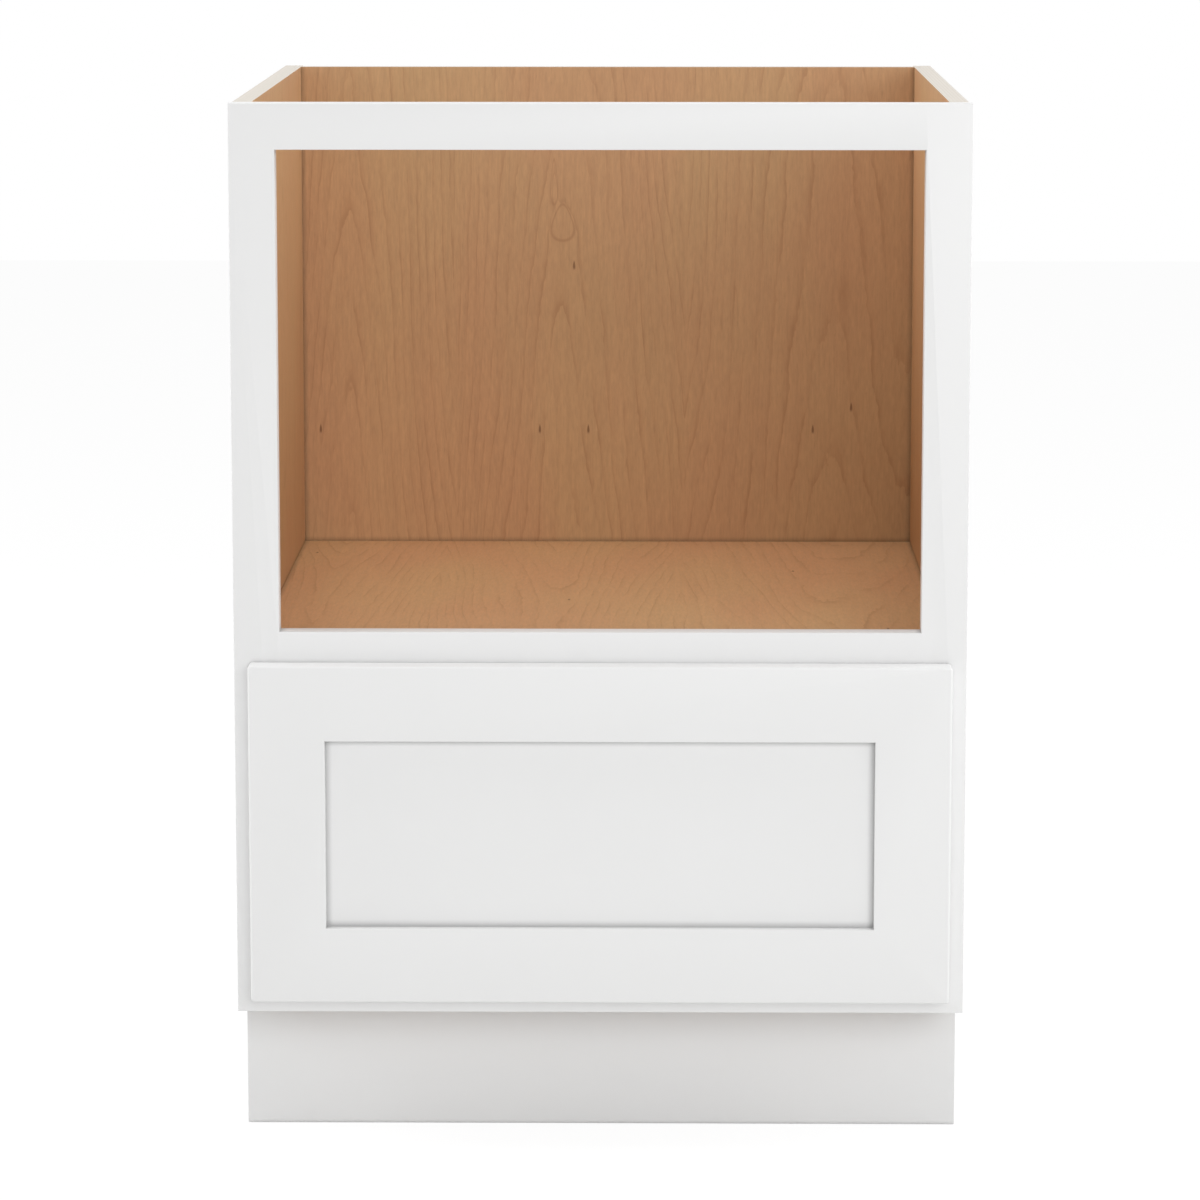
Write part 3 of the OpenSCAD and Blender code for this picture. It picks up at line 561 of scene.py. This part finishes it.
@dataclass
class Veneer:
    """A veneered panel: its node, its axes across, through and along the grain, and its figure."""

    node: str
    axes: str
    seed: int
    arch_centre: float = 0  # metres across the grain
    arch_width: float = 0.218  # metres, too
    arch_skew: float = 0
    arch_lines: float = 9  # rings from an arch's middle to where the next one begins
    rise: float = 9  # rings to a metre along the grain
    # The panel's brightness as a whole: partly its own tone, partly painted light and shade for the
    # way it faces the lamps
    tone: float = 1
    painted: int = 0  # -1 or 1 for a side whose low or high face is painted
    eyes: tuple = ()  # the middle and reach of each teardrop, in the order of the axes
    flecks: tuple = ()  # where each dark fleck is, across and along the grain

    def figure(self):
        """The inputs of veneer_rings besides the place."""
        names = ("seed", "arch_centre", "arch_width", "arch_skew", "arch_lines", "rise")
        return {name: getattr(self, name) for name in names}


# How far a dark fleck reaches across, through and along the grain
FLECK_REACH = (0.0012, 9, 0.0046)


def veneer_material(panel):
    """Lacquered maple plywood with the panel's own figure, pale plies at its edges and, where the
    panel is a side, paint outside."""
    maple = settings().maple
    material, nodes, coordinates = new_material("Maple plywood " + panel.node)
    place = grain_space(nodes, coordinates["Object"], panel.axes)
    rings = nodes.group(veneer_rings, place=place, **panel.figure())["Rings"]
    rim, mask = 0.0, 0.0
    for middle, reach in panel.eyes:
        eye = nodes.group(grain_eye, place=place, middle=middle, reach=reach)
        rings = nodes.math("MULTIPLY_ADD", eye["Rise"], maple.eye_lift, rings)
        rim = nodes.math("MAXIMUM", eye["Rim"], rim)
    for across, along in panel.flecks:
        middle = (across, 0, along)
        fleck = nodes.group(grain_eye, place=place, middle=middle, reach=FLECK_REACH)["Rise"]
        mask = nodes.math("MAXIMUM", nodes.spread(fleck, 0.2, 0.8, 0.0, maple.fleck_strength), mask)
    facts = {"place": place, "rings": rings, "seed": panel.seed, "fleck_mask": mask}
    wood = maple_wood(nodes, "veneer", **facts)
    # The panel's brightness, which holds painted light and shade as well as its own tone
    wood["Color"] = nodes.blend(1.0, wood["Color"], (panel.tone,) * 3 + (1,), "MULTIPLY")
    if panel.eyes:
        outline = nodes.math("MULTIPLY", rim, maple.eye_outline)
        wood["Color"] = nodes.blend(outline, wood["Color"], (*maple.veneer_line, 1))
    # Shade painted into the inner corners, also where this panel meets the others
    wood["Color"] = settled(nodes, wood["Color"], maple, only_local=False)

    ply = nodes.group(
        ply_edge, place=place, low_face=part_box(panel.node)[0][AXES.index(panel.axes[1])],
        ply=maple.ply_thickness, long=(*maple.ply, 1), cross=(*maple.ply_cross, 1),
        glue=(*maple.glue, 1),
    )
    edge = {"Color": ply["Color"], "Roughness": maple.ply_roughness, "Height": ply["Height"]}
    finish = mix_finishes(nodes, facing(nodes, coordinates, panel.axes[1]), edge, wood)
    if panel.painted:
        outside = facing(nodes, coordinates, panel.axes[1], panel.painted)
        finish = mix_finishes(nodes, outside, finish, paint_finish(nodes, coordinates["Object"]))
    surface(nodes, finish, maple.relief, Specular_IOR_Level=maple.sheen)
    return material


# What end grain does to the wood's colour
END_GRAIN_TINT = (0.74, 0.68, 0.62, 1)


def board_material(node, axes, seed, heart=(0.02, 0.075), rise=9):
    """Lacquered solid maple: rings round a heart beside the board, and darker end grain."""
    maple = settings().maple
    material, nodes, coordinates = new_material("Solid maple " + node)
    place = grain_space(nodes, coordinates["Object"], axes)
    low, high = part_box(node)
    middle = (low + high) / 2
    across, through = (middle[AXES.index(axis)] for axis in axes[:2])
    rings = nodes.group(
        board_rings, place=place, heart=(across + heart[0], through - heart[1], 0), seed=seed,
        pitch=maple.ring_pitch, rise=rise,
    )["Rings"]
    wood = maple_wood(nodes, "board", place=place, rings=rings, seed=seed, fleck_mask=0.0)
    dark = nodes.blend(1.0, wood["Color"], END_GRAIN_TINT, "MULTIPLY")
    end = {"Color": dark, "Roughness": maple.end_roughness, "Height": wood["Height"]}
    finish = mix_finishes(nodes, facing(nodes, coordinates, axes[2]), wood, end)
    surface(nodes, finish, maple.relief, Specular_IOR_Level=maple.sheen)
    return material


def metal_material(name, colour, dull, roll, bump):
    """Plated or polished steel. roll is the size of its rolling marks, in metres each way."""
    material, nodes, coordinates = new_material(name)
    place = coordinates["Object"]
    finish = nodes.group(rolled_metal, place=place, metal=(*colour, 1), roll=roll, dull=dull)
    surface(nodes, finish, bump, Metallic=1.0)
    return material


def plastic_material(name, colour, dull, **constants):
    """Moulded plastic or rubber."""
    material, nodes, coordinates = new_material(name)
    place = coordinates["Object"]
    finish = nodes.group(moulded_grain, place=place, plastic=(*colour, 1), dull=dull)
    surface(nodes, finish, settings().plastic.grain_depth, **constants)
    return material


def material_once(name, build, *facts):
    """The material of that name, built the first time and shared after that."""
    return bpy.data.materials.get(name) or build(name, *facts)


def white_paint():
    return material_once("White paint", paint_material)


def grey_plastic():
    plastic = settings().plastic
    return material_once("Grey plastic", plastic_material, plastic.grey, plastic.grey_roughness)


def finish_nodes(names, material):
    """Gives CAD nodes, whose shapes stay, a material."""
    for name in names:
        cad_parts[name].material_slots[0].material = material


# ---- Modelling ----


def deselect():
    bpy.ops.object.select_all(action="DESELECT")


def choose(obj):
    """Makes obj the only selected object."""
    deselect()
    obj.select_set(True)
    bpy.context.view_layer.objects.active = obj


def in_edit_mode(obj):
    choose(obj)
    bpy.ops.object.mode_set(mode="EDIT")


def leave_edit_mode():
    bpy.ops.object.mode_set(mode="OBJECT")


def pick(obj, kind, wanted):
    """In edit mode, selects only the edges or faces that wanted says yes to."""
    bpy.ops.mesh.select_mode(type=kind)
    bpy.ops.mesh.select_all(action="DESELECT")
    mesh = bmesh.from_edit_mesh(obj.data)
    mesh.normal_update()
    for part in mesh.edges if kind == "EDGE" else mesh.faces:
        part.select_set(wanted(part))
    mesh.select_flush_mode()
    bmesh.update_edit_mesh(obj.data)


def add_block(name, low, high):
    """A box from one corner to the other."""
    bpy.ops.mesh.primitive_cube_add(size=1, location=(low + high) / 2, scale=high - low)
    bpy.ops.object.transform_apply(location=True, scale=True)
    block = bpy.context.active_object
    block.name = block.data.name = name
    return block


def copy_node(node, name):
    """A new object from a copy of a CAD node's mesh, with its loose triangles merged."""
    obj = bpy.data.objects.new(name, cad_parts[node].data.copy())
    obj.data.name = name
    bpy.context.scene.collection.objects.link(obj)
    in_edit_mode(obj)
    bpy.ops.mesh.select_all(action="SELECT")
    bpy.ops.mesh.remove_doubles(threshold=0.001 * MM)
    leave_edit_mode()
    bpy.ops.mesh.customdata_custom_splitnormals_clear()
    return obj


def delete(obj):
    mesh = obj.data
    bpy.data.objects.remove(obj)
    bpy.data.meshes.remove(mesh)


def apply_modifiers(obj):
    choose(obj)
    for modifier in list(obj.modifiers):
        bpy.ops.object.modifier_apply(modifier=modifier.name)


def boolean(obj, other, operation):
    """obj joined with or cut by other, which is then removed."""
    modifier = obj.modifiers.new("Boolean", "BOOLEAN")
    modifier.operation = operation
    modifier.solver = "EXACT"
    modifier.object = other
    apply_modifiers(obj)
    delete(other)


def is_sharp(edge):
    return len(edge.link_faces) == 2 and edge.calc_face_angle() > SHARP


def is_level(edge, axis, level):
    """Whether both of an edge's ends lie at level on an axis."""
    return all(abs(vertex.co[AXES.index(axis)] - level) < SLACK for vertex in edge.verts)


def round_edges(obj, wanted, width, segments):
    """Rounds the edges that wanted says yes to."""
    in_edit_mode(obj)
    pick(obj, "EDGE", wanted)
    bpy.ops.mesh.bevel(offset=width, segments=segments, affect="EDGES")
    leave_edit_mode()


def smooth(obj, degrees):
    """Shades obj smooth, but for edges that turn by more than that."""
    choose(obj)
    bpy.ops.object.shade_smooth_by_angle(angle=math.radians(degrees))


def join(parts, name):
    """One object from several."""
    choose(parts[0])
    for part in parts:
        part.select_set(True)
    bpy.ops.object.join()
    parts[0].name = parts[0].data.name = name
    return parts[0]


def place_piece(obj, body, material, nodes):
    """Finishes a piece: its place goes into its mesh, and it stands for CAD nodes on their body."""
    choose(obj)
    bpy.ops.object.transform_apply(location=True, rotation=True, scale=True)
    obj.data.materials.clear()
    obj.data.materials.append(material)
    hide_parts(*nodes)
    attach(obj, body)


def solids_of(node):
    """The points of each separate solid of a CAD node."""
    in_edit_mode(copy_node(node, "solids"))
    bpy.ops.mesh.separate(type="LOOSE")
    leave_edit_mode()
    solids = []
    for part in list(bpy.context.selected_objects):
        solids.append([vertex.co.copy() for vertex in part.data.vertices])
        delete(part)
    return solids


def middle_of(points):
    return sum(points, Vector()) / len(points)


class ScrewPlace:
    """Where a CAD screw sits and its sizes, read from its solid's points."""

    def __init__(self, points):
        near = 2 * SLACK
        centre = middle_of(points)
        axis = self.long_axis([point - centre for point in points])
        # The middles of both flat ends give a better axis, which finds the ends better
        for _ in range(4):
            reach = [(p - centre).dot(axis) for p in points]
            ends = [middle_of([p for p, r in zip(points, reach) if abs(r - limit) < near])
                    for limit in (min(reach), max(reach))]
            axis = (ends[1] - ends[0]).normalized()
        radius = [self.radius(p, ends[0], axis) for p in points]
        first_end = [r for p, r in zip(points, radius) if abs((p - ends[0]).dot(axis)) < near]
        # The head is the wide end
        if max(first_end) < max(radius) / 2:
            axis, ends = -axis, ends[::-1]
        self.head, self.axis = ends[0], axis
        self.length = (ends[1] - ends[0]).length
        self.head_radius = max(radius)
        depths = [(p - self.head).dot(axis) for p in points]
        self.shank = max(r for r, depth in zip(radius, depths) if depth > self.length / 2)
        on_shank = [depth for r, depth in zip(radius, depths) if abs(r - self.shank) < near]
        self.head_height = min(on_shank)
        # A flush head is a cone, so it is narrower a little below its face
        rims = [r for r, depth in zip(radius, depths) if depth > 0.2 * self.head_height]
        self.flush = max(rims) < 0.9 * self.head_radius

    @staticmethod
    def long_axis(points):
        """The direction along which points spread most, by power iteration."""
        axis = max(points, key=lambda point: point.length).normalized()
        for _ in range(40):
            axis = sum((point.dot(axis) * point for point in points), Vector()).normalized()
        return axis

    @staticmethod
    def radius(point, origin, axis):
        return (point - origin).cross(axis).length

    def matrix(self):
        turn = self.axis.to_track_quat("Z", "Y").to_matrix().to_4x4()
        return Matrix.Translation(self.head) @ turn


def model_screw(place, name):
    """One screw at the origin that points along +Z, with a square drive in its head."""
    options = settings().screw
    core = options.core * place.shank
    tip = options.tip * place.shank
    seat_radius = place.shank if place.flush else place.head_radius
    bpy.ops.mesh.primitive_cone_add(
        vertices=options.sides, radius1=place.head_radius, radius2=seat_radius,
        depth=place.head_height, location=(0, 0, place.head_height / 2),
    )
    screw = bpy.context.active_object
    bpy.ops.object.transform_apply(location=True)
    in_edit_mode(screw)
    pick(screw, "FACE", lambda face: face.normal.z > 0.9)
    bpy.ops.mesh.inset(thickness=seat_radius - core)
    for rise, width in ((place.length - place.head_height - tip, 1), (tip, options.tip_width)):
        bpy.ops.mesh.extrude_region_move(TRANSFORM_OT_translate={"value": (0, 0, rise)})
        bpy.ops.transform.resize(value=(width, width, 1))
    leave_edit_mode()
    rounding = options.flush_rounding if place.flush else options.dome_rounding
    round_edges(screw, lambda edge: is_level(edge, "Z", 0), rounding * place.head_height, 4)

    drive = math.sqrt(2) * options.drive * place.head_radius
    depth = options.drive_depth * place.head_height
    bpy.ops.mesh.primitive_cone_add(
        vertices=4, radius1=drive, radius2=options.drive_taper * drive, depth=2 * depth
    )
    boolean(screw, bpy.context.active_object, "DIFFERENCE")
    thread = model_thread(place, core, tip)
    return join([screw, thread], name)


def model_thread(place, core, tip):
    """The thread's ridge: a small triangle wound round the shank, down to the tip."""
    options = settings().screw
    pitch = options.thread_pitch
    start = place.head_height + options.thread_start * (place.length - place.head_height)
    turns = max(1, int((place.length - tip - start) / pitch))
    # A triangle is 1.5 of its radii high, and its foot is sunk in the core a little
    ridge = (place.shank - core + 0.05 * MM) / 1.5
    bpy.ops.mesh.primitive_circle_add(
        vertices=3, radius=ridge, location=(place.shank - ridge, 0, start),
        rotation=(math.pi / 2, math.pi / 2, 0),
    )
    thread = bpy.context.active_object
    bpy.ops.object.transform_apply(location=True, rotation=True)
    winding = thread.modifiers.new("Winding", "SCREW")
    winding.screw_offset = pitch
    winding.iterations = turns
    winding.steps = winding.render_steps = 14
    apply_modifiers(thread)
    in_edit_mode(thread)
    bpy.ops.mesh.select_all(action="SELECT")
    bpy.ops.mesh.fill_holes(sides=0)
    bpy.ops.mesh.select_all(action="SELECT")
    bpy.ops.mesh.normals_make_consistent(inside=False)
    leave_edit_mode()
    return thread


def copy_to(obj, matrix):
    """A copy of obj with its own mesh, moved by matrix."""
    copy = obj.copy()
    copy.data = obj.data.copy()
    copy.data.transform(matrix)
    bpy.context.scene.collection.objects.link(copy)
    return copy


# ---- Stage ----


def seen_directly(nodes):
    """1 for what the camera sees, straight or in a mirror or through glass."""
    path = nodes.add("ShaderNodeLightPath", {}).outputs
    seen = nodes.math("MAXIMUM", path["Is Camera Ray"], path["Is Glossy Ray"])
    return nodes.math("MAXIMUM", seen, path["Is Transmission Ray"])


def floor_material():
    """A pale floor that the camera sees as white, but for the object's shadow. It is clear from
    below."""
    stage = settings().stage
    material, nodes, coordinates = new_material("Studio floor")
    cloud = nodes.noise(coordinates["Object"], 0.4)
    shade = nodes.spread(cloud, 0.3, 0.7, 0.97, 1.0)
    colour = (*stage.floor_colour, 1)
    ground_colour = nodes.shaded(colour, shade)
    ground = nodes.add("ShaderNodeBsdfDiffuse", {"Color": ground_colour}).outputs[0]
    # In all a little over white, so that the floor's far edge doesn't show
    shadow_share = 1.03 - stage.floor_glow
    shadow = nodes.add("ShaderNodeBsdfDiffuse", {"Color": (shadow_share,) * 3 + (1,)}).outputs[0]
    glow = nodes.add("ShaderNodeEmission", {"Strength": stage.floor_glow}).outputs[0]
    white = nodes.add("ShaderNodeAddShader", {0: shadow, 1: glow}).outputs[0]
    upper = nodes.mix_shaders(seen_directly(nodes), ground, white)
    below = nodes.add("ShaderNodeNewGeometry", {}).outputs["Backfacing"]
    clear = nodes.add("ShaderNodeBsdfTransparent", {}).outputs[0]
    nodes.add("ShaderNodeOutputMaterial", {"Surface": nodes.mix_shaders(below, upper, clear)})
    return material


def light_world():
    """Even light from all round, which the camera sees as white."""
    world = bpy.data.worlds.new("Studio")
    world.use_nodes = True
    world.node_tree.nodes.clear()
    nodes = Nodes(world.node_tree)
    dome, white = (
        nodes.add("ShaderNodeBackground", {"Color": (1, 1, 1, 1), "Strength": strength}).outputs[0]
        for strength in (settings().stage.dome, 1.0)
    )
    nodes.add("ShaderNodeOutputWorld", {0: nodes.mix_shaders(seen_directly(nodes), dome, white)})
    bpy.context.scene.world = world


def add_lamp(name, turn, rise, power, stretch=1.0):
    """A soft box, turned to the right of the front and raised above the level of its aim, both in
    radians. stretch is its width over its height."""
    stage = settings().stage
    aim = Vector(stage.lamp_aim)
    level = math.cos(rise)
    away = Vector((math.sin(turn) * level, -math.cos(turn) * level, math.sin(rise)))
    bpy.ops.object.light_add(type="AREA", location=aim + stage.lamp_distance * away)
    lamp = bpy.context.active_object
    lamp.name = lamp.data.name = name
    lamp.data.shape = "RECTANGLE"
    lamp.data.size = stretch * stage.lamp_width
    lamp.data.size_y = stage.lamp_width
    lamp.data.energy = power
    lamp.rotation_euler = away.to_track_quat("Z", "Y").to_euler()
    lamp.visible_camera = False


class CABINET_OT_stage(Operator):
    """Lay the floor, light the studio and set up the camera"""

    bl_idname = "cabinet.stage"
    bl_label = "Stage"

    def execute(self, context):
        stage = settings().stage
        context.scene.view_settings.view_transform = "Standard"
        deselect()
        bpy.ops.mesh.primitive_plane_add(size=stage.floor_width)
        floor = context.active_object
        floor.name = floor.data.name = "studio_floor"
        floor.data.materials.append(floor_material())
        light_world()

        add_lamp("key_light", stage.key_turn, math.radians(15), stage.key_power, 1.8)
        add_lamp("top_light", 0, math.radians(88), stage.top_power)
        add_lamp("left_light", math.radians(-90), math.radians(25), stage.left_power)
        add_lamp("right_light", math.radians(90), math.radians(25), stage.right_power)

        bpy.ops.object.camera_add(location=stage.camera_place)
        camera = context.active_object
        camera.name = camera.data.name = "camera"
        camera.rotation_euler = (math.pi / 2 - stage.camera_dip, 0, stage.camera_turn)
        camera.data.lens = stage.camera_lens
        context.scene.camera = camera
        return {"FINISHED"}


# ---- Pieces ----


class CABINET_OT_face_frame(Operator):
    """Join the stiles and rails into the painted face frame, and ease its front arrises"""

    bl_idname = "cabinet.face_frame"
    bl_label = "Face frame"

    def execute(self, context):
        nodes = ("left_stile", "top_rail", "middle_rail", "bottom_rail", "right_stile")
        face = copy_node(nodes[0], "face_frame")
        for node in nodes[1:]:
            boolean(face, copy_node(node, "joined"), "UNION")
        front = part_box("top_rail")[0].y
        in_edit_mode(face)
        bpy.ops.mesh.select_all(action="SELECT")
        bpy.ops.mesh.dissolve_limited(angle_limit=math.radians(0.05))
        leave_edit_mode()
        width = settings().paint.arris
        round_edges(face, lambda edge: is_level(edge, "Y", front) and is_sharp(edge), width, 3)
        smooth(face, 35)
        place_piece(face, "cabinet", white_paint(), nodes)
        return {"FINISHED"}


class CABINET_OT_toe_board(Operator):
    """Paint the toe board"""

    bl_idname = "cabinet.toe_board"
    bl_label = "Toe board"

    def execute(self, context):
        finish_nodes(["toe_board"], white_paint())
        return {"FINISHED"}


BACK_EYES = (((-0.042, 0, 0.731), (0.0095, 9, 0.017)), ((-0.050, 0, 0.769), (0.003, 9, 0.021)))
BACK_FLECKS = ((-0.0313, 0.691), (-0.0638, 0.536), (-0.018, 0.536), (-0.271, 0.536), (0.230, 0.557),
               (0.194, 0.536))
DECK_FLECKS = ((-0.030, -0.062), (0.171, 0.104), (-0.270, 0.213), (-0.019, -0.238), (0.243, -0.214))


class CABINET_OT_box_panels(Operator):
    """Veneer the side panels, the back, the deck and the bottom"""

    bl_idname = "cabinet.box_panels"
    bl_label = "Box panels"

    def execute(self, context):
        panels = [
            Veneer("left_side_panel", "YXZ", 11, arch_centre=0.05, tone=0.97, painted=-1),
            Veneer("right_side_panel", "YXZ", 23, arch_centre=-0.07, tone=0.985, painted=1),
            Veneer("back_panel", "XYZ", 31, arch_centre=-0.042, arch_skew=-0.134, rise=8,
                   eyes=BACK_EYES, flecks=BACK_FLECKS),
            Veneer("microwave_deck", "XZY", 47, arch_centre=-0.04, arch_skew=-0.12, rise=-7,
                   tone=1.18, flecks=DECK_FLECKS),
            Veneer("bottom_panel", "XZY", 59, arch_centre=0.04),
        ]
        for panel in panels:
            finish_nodes([panel.node], veneer_material(panel))
        return {"FINISHED"}


class CABINET_OT_rails_and_blocks(Operator):
    """Finish the hanging rails and the corner blocks in solid maple"""

    bl_idname = "cabinet.rails_and_blocks"
    bl_label = "Hanging rails and corner blocks"

    def execute(self, context):
        boards = {"upper_hanging_rail": "ZYX", "lower_hanging_rail": "ZYX",
                  "left_corner_block": "YZX", "right_corner_block": "YZX"}
        for count, (node, axes) in enumerate(boards.items()):
            finish_nodes([node], board_material(node, axes, 101 + 7 * count))
        return {"FINISHED"}


class CABINET_OT_drawer_front(Operator):
    """Model the drawer front in one piece, as its paint hides its joints"""

    bl_idname = "cabinet.drawer_front"
    bl_label = "Drawer front"

    def execute(self, context):
        paint = settings().paint
        pieces = ("left_stile", "right_stile", "top_rail", "bottom_rail", "panel")
        left, right, top, bottom, panel = (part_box("drawer_front_" + piece) for piece in pieces)
        low, high = left[0], right[1]
        front = add_block("drawer_front", low, high)
        round_edges(front, self.runs_back, paint.corner, 5)
        round_edges(front, lambda edge: is_level(edge, "Y", low.y), paint.front_edge, 4)
        inside = (left[1].x, bottom[1].z), (right[0].x, top[0].z)
        for near, far in ((low.y - MM, panel[0].y), (panel[1].y, high.y + MM)):
            (low_x, low_z), (high_x, high_z) = inside
            sunk = add_block("sunk", Vector((low_x, near, low_z)), Vector((high_x, far, high_z)))
            boolean(front, sunk, "DIFFERENCE")
        for points in solids_of("drawer_front_screws"):
            boolean(front, self.pilot(ScrewPlace(points)), "DIFFERENCE")
        rim = low.y, left[1].x, right[0].x
        round_edges(front, lambda edge: self.is_rim(edge, *rim), paint.arris, 3)
        smooth(front, 35)
        nodes = ["drawer_front_" + piece for piece in pieces]
        place_piece(front, "drawer", white_paint(), nodes)
        return {"FINISHED"}

    @staticmethod
    def runs_back(edge):
        first, second = (vertex.co for vertex in edge.verts)
        return abs(first.y - second.y) > 5 * MM

    @staticmethod
    def is_rim(edge, front, left, right):
        """Whether an edge lies where the front steps down to its panel."""
        inside = all(left - SLACK < vertex.co.x < right + SLACK for vertex in edge.verts)
        return inside and is_level(edge, "Y", front) and is_sharp(edge)

    @staticmethod
    def pilot(place):
        """What a screw's pilot hole takes out, which is a little longer than the screw."""
        length = place.length + 0.2 * MM
        bpy.ops.mesh.primitive_cylinder_add(vertices=24, radius=place.shank, depth=length)
        hole = bpy.context.active_object
        hole.matrix_world = place.matrix() @ Matrix.Translation((0, 0, length / 2))
        return hole


class CABINET_OT_drawer_box(Operator):
    """Finish the dovetailed drawer box's boards in solid maple, and veneer its bottom"""

    bl_idname = "cabinet.drawer_box"
    bl_label = "Drawer box"

    def execute(self, context):
        boards = {"left_side": "ZXY", "right_side": "ZXY", "front": "ZYX", "back": "ZYX"}
        for count, (piece, axes) in enumerate(boards.items()):
            node = "drawer_box_" + piece
            finish_nodes([node], board_material(node, axes, 151 + 13 * count))
        bottom = Veneer("drawer_box_bottom", "XZY", 71, arch_centre=0.02)
        finish_nodes([bottom.node], veneer_material(bottom))
        return {"FINISHED"}


class CABINET_OT_runners(Operator):
    """Finish the three rolled steel members of both runners"""

    bl_idname = "cabinet.runners"
    bl_label = "Runners"

    def execute(self, context):
        metal = settings().metal
        roll = (0.9 * MM, 30 * MM, 0.9 * MM)
        facts = metal.zinc, metal.zinc_roughness, roll, 0.01 * MM
        steel = metal_material("Zinc-plated steel", *facts)
        for member in ("cabinet", "middle", "drawer"):
            finish_nodes([f"{side}_{member}_runner" for side in SIDES], steel)
        return {"FINISHED"}


class CABINET_OT_ball_rows(Operator):
    """Finish the balls and the cages that space them"""

    bl_idname = "cabinet.ball_rows"
    bl_label = "Balls and cages"

    def execute(self, context):
        metal = settings().metal
        facts = metal.ball, metal.ball_roughness, (0.6 * MM,) * 3, 0.001 * MM
        steel = metal_material("Ball steel", *facts)
        rows = [f"{side}_{row}" for side in SIDES for row in ("lower", "upper")]
        finish_nodes([row + "_balls" for row in rows], steel)
        finish_nodes([row + "_cage" for row in rows], grey_plastic())
        return {"FINISHED"}


class CABINET_OT_moulded_parts(Operator):
    """Finish the rear brackets, the soft-close dampers and the lock bodies"""

    bl_idname = "cabinet.moulded_parts"
    bl_label = "Moulded parts"

    def execute(self, context):
        for part in ("rear_bracket", "damper", "lock_body"):
            finish_nodes([f"{side}_{part}" for side in SIDES], grey_plastic())
        return {"FINISHED"}


class CABINET_OT_release_levers(Operator):
    """Finish the two levers that free the drawer from its runners"""

    bl_idname = "cabinet.release_levers"
    bl_label = "Release levers"

    def execute(self, context):
        plastic = settings().plastic
        lever = plastic_material("Lever plastic", plastic.lever, plastic.lever_roughness)
        finish_nodes([side + "_release_lever" for side in SIDES], lever)
        return {"FINISHED"}


class CABINET_OT_screws(Operator):
    """Model every screw with its thread and its square drive"""

    bl_idname = "cabinet.screws"
    bl_label = "Screws"

    def execute(self, context):
        sets = {
            "frame_pocket_screws": "cabinet",
            "back_panel_screws": "cabinet",
            "runner_screws": "cabinet",
            "bracket_screws": "cabinet",
            "lock_screws": "drawer",
            "drawer_front_screws": "drawer",
        }
        metal = settings().metal
        roll = (2 * MM, 2 * MM, 0.6 * MM)
        facts = metal.screw, metal.screw_roughness, roll, 0.008 * MM
        steel = metal_material("Screw steel", *facts)
        for node, body in sets.items():
            places = [ScrewPlace(points) for points in solids_of(node)]
            pattern = model_screw(places[0], "screw")
            copies = [copy_to(pattern, place.matrix()) for place in places]
            delete(pattern)
            screws = join(copies, node.removesuffix("s") + "_set")
            smooth(screws, 32)
            place_piece(screws, body, steel, [node])
        return {"FINISHED"}


class CABINET_OT_bumpers(Operator):
    """Mould the clear bumpers on the drawer front's back"""

    bl_idname = "cabinet.bumpers"
    bl_label = "Bumpers"

    def execute(self, context):
        bumpers = [self.bumper(points) for points in solids_of("drawer_bumpers")]
        bumpers = join(bumpers, "bumper_set")
        smooth(bumpers, 40)
        plastic = settings().plastic
        facts = plastic.rubber, plastic.rubber_roughness
        rubber = plastic_material("Clear rubber", *facts, Transmission_Weight=0.55, IOR=1.49)
        place_piece(bumpers, "drawer", rubber, ["drawer_bumpers"])
        return {"FINISHED"}

    @staticmethod
    def bumper(points):
        """One domed disc, where a CAD bumper is."""
        low = Vector(map(min, *points))
        high = Vector(map(max, *points))
        radius, thickness = (high.x - low.x) / 2, high.y - low.y
        bpy.ops.mesh.primitive_cylinder_add(
            vertices=40, radius=radius, depth=thickness, location=(low + high) / 2,
            rotation=(-math.pi / 2, 0, 0),
        )
        disc = bpy.context.active_object
        # The dome takes up most of the thickness, and leaves a low wall to stand on
        round_edges(disc, lambda edge: is_level(edge, "Z", thickness / 2), 0.8 * thickness, 6)
        return disc


# ---- Panel and registration ----

OPERATORS = (
    CABINET_OT_stage, CABINET_OT_face_frame, CABINET_OT_toe_board, CABINET_OT_box_panels,
    CABINET_OT_rails_and_blocks, CABINET_OT_drawer_front, CABINET_OT_drawer_box, CABINET_OT_runners,
    CABINET_OT_ball_rows, CABINET_OT_moulded_parts, CABINET_OT_release_levers, CABINET_OT_screws,
    CABINET_OT_bumpers,
)


class CABINET_PT_pieces(Panel):
    """Lists the cabinet's pieces and settings"""

    bl_label = "Microwave base cabinet"
    bl_idname = "CABINET_PT_pieces"
    bl_space_type = "VIEW_3D"
    bl_region_type = "UI"
    bl_category = "Cabinet"

    def draw(self, context):
        column = self.layout.column(align=True)
        for operator in OPERATORS:
            column.operator(operator.bl_idname)
        for group in CabinetSettings.__annotations__:
            values = getattr(settings(), group)
            box = self.layout.box()
            box.label(text=label(group))
            for name in values.__annotations__:
                box.prop(values, name)


CLASSES = (
    StageSettings, PaintSettings, MapleSettings, MetalSettings, PlasticSettings, ScrewSettings,
    CabinetSettings, *OPERATORS, CABINET_PT_pieces,
)


def register():
    for cls in CLASSES:
        bpy.utils.register_class(cls)
    bpy.types.Scene.cabinet = PointerProperty(type=CabinetSettings)


def unregister():
    del bpy.types.Scene.cabinet
    for cls in reversed(CLASSES):
        bpy.utils.unregister_class(cls)


def main():
    register()
    for operator in OPERATORS:
        group, name = operator.bl_idname.split(".")
        getattr(getattr(bpy.ops, group), name)()


if __name__ == "__main__":
    main()
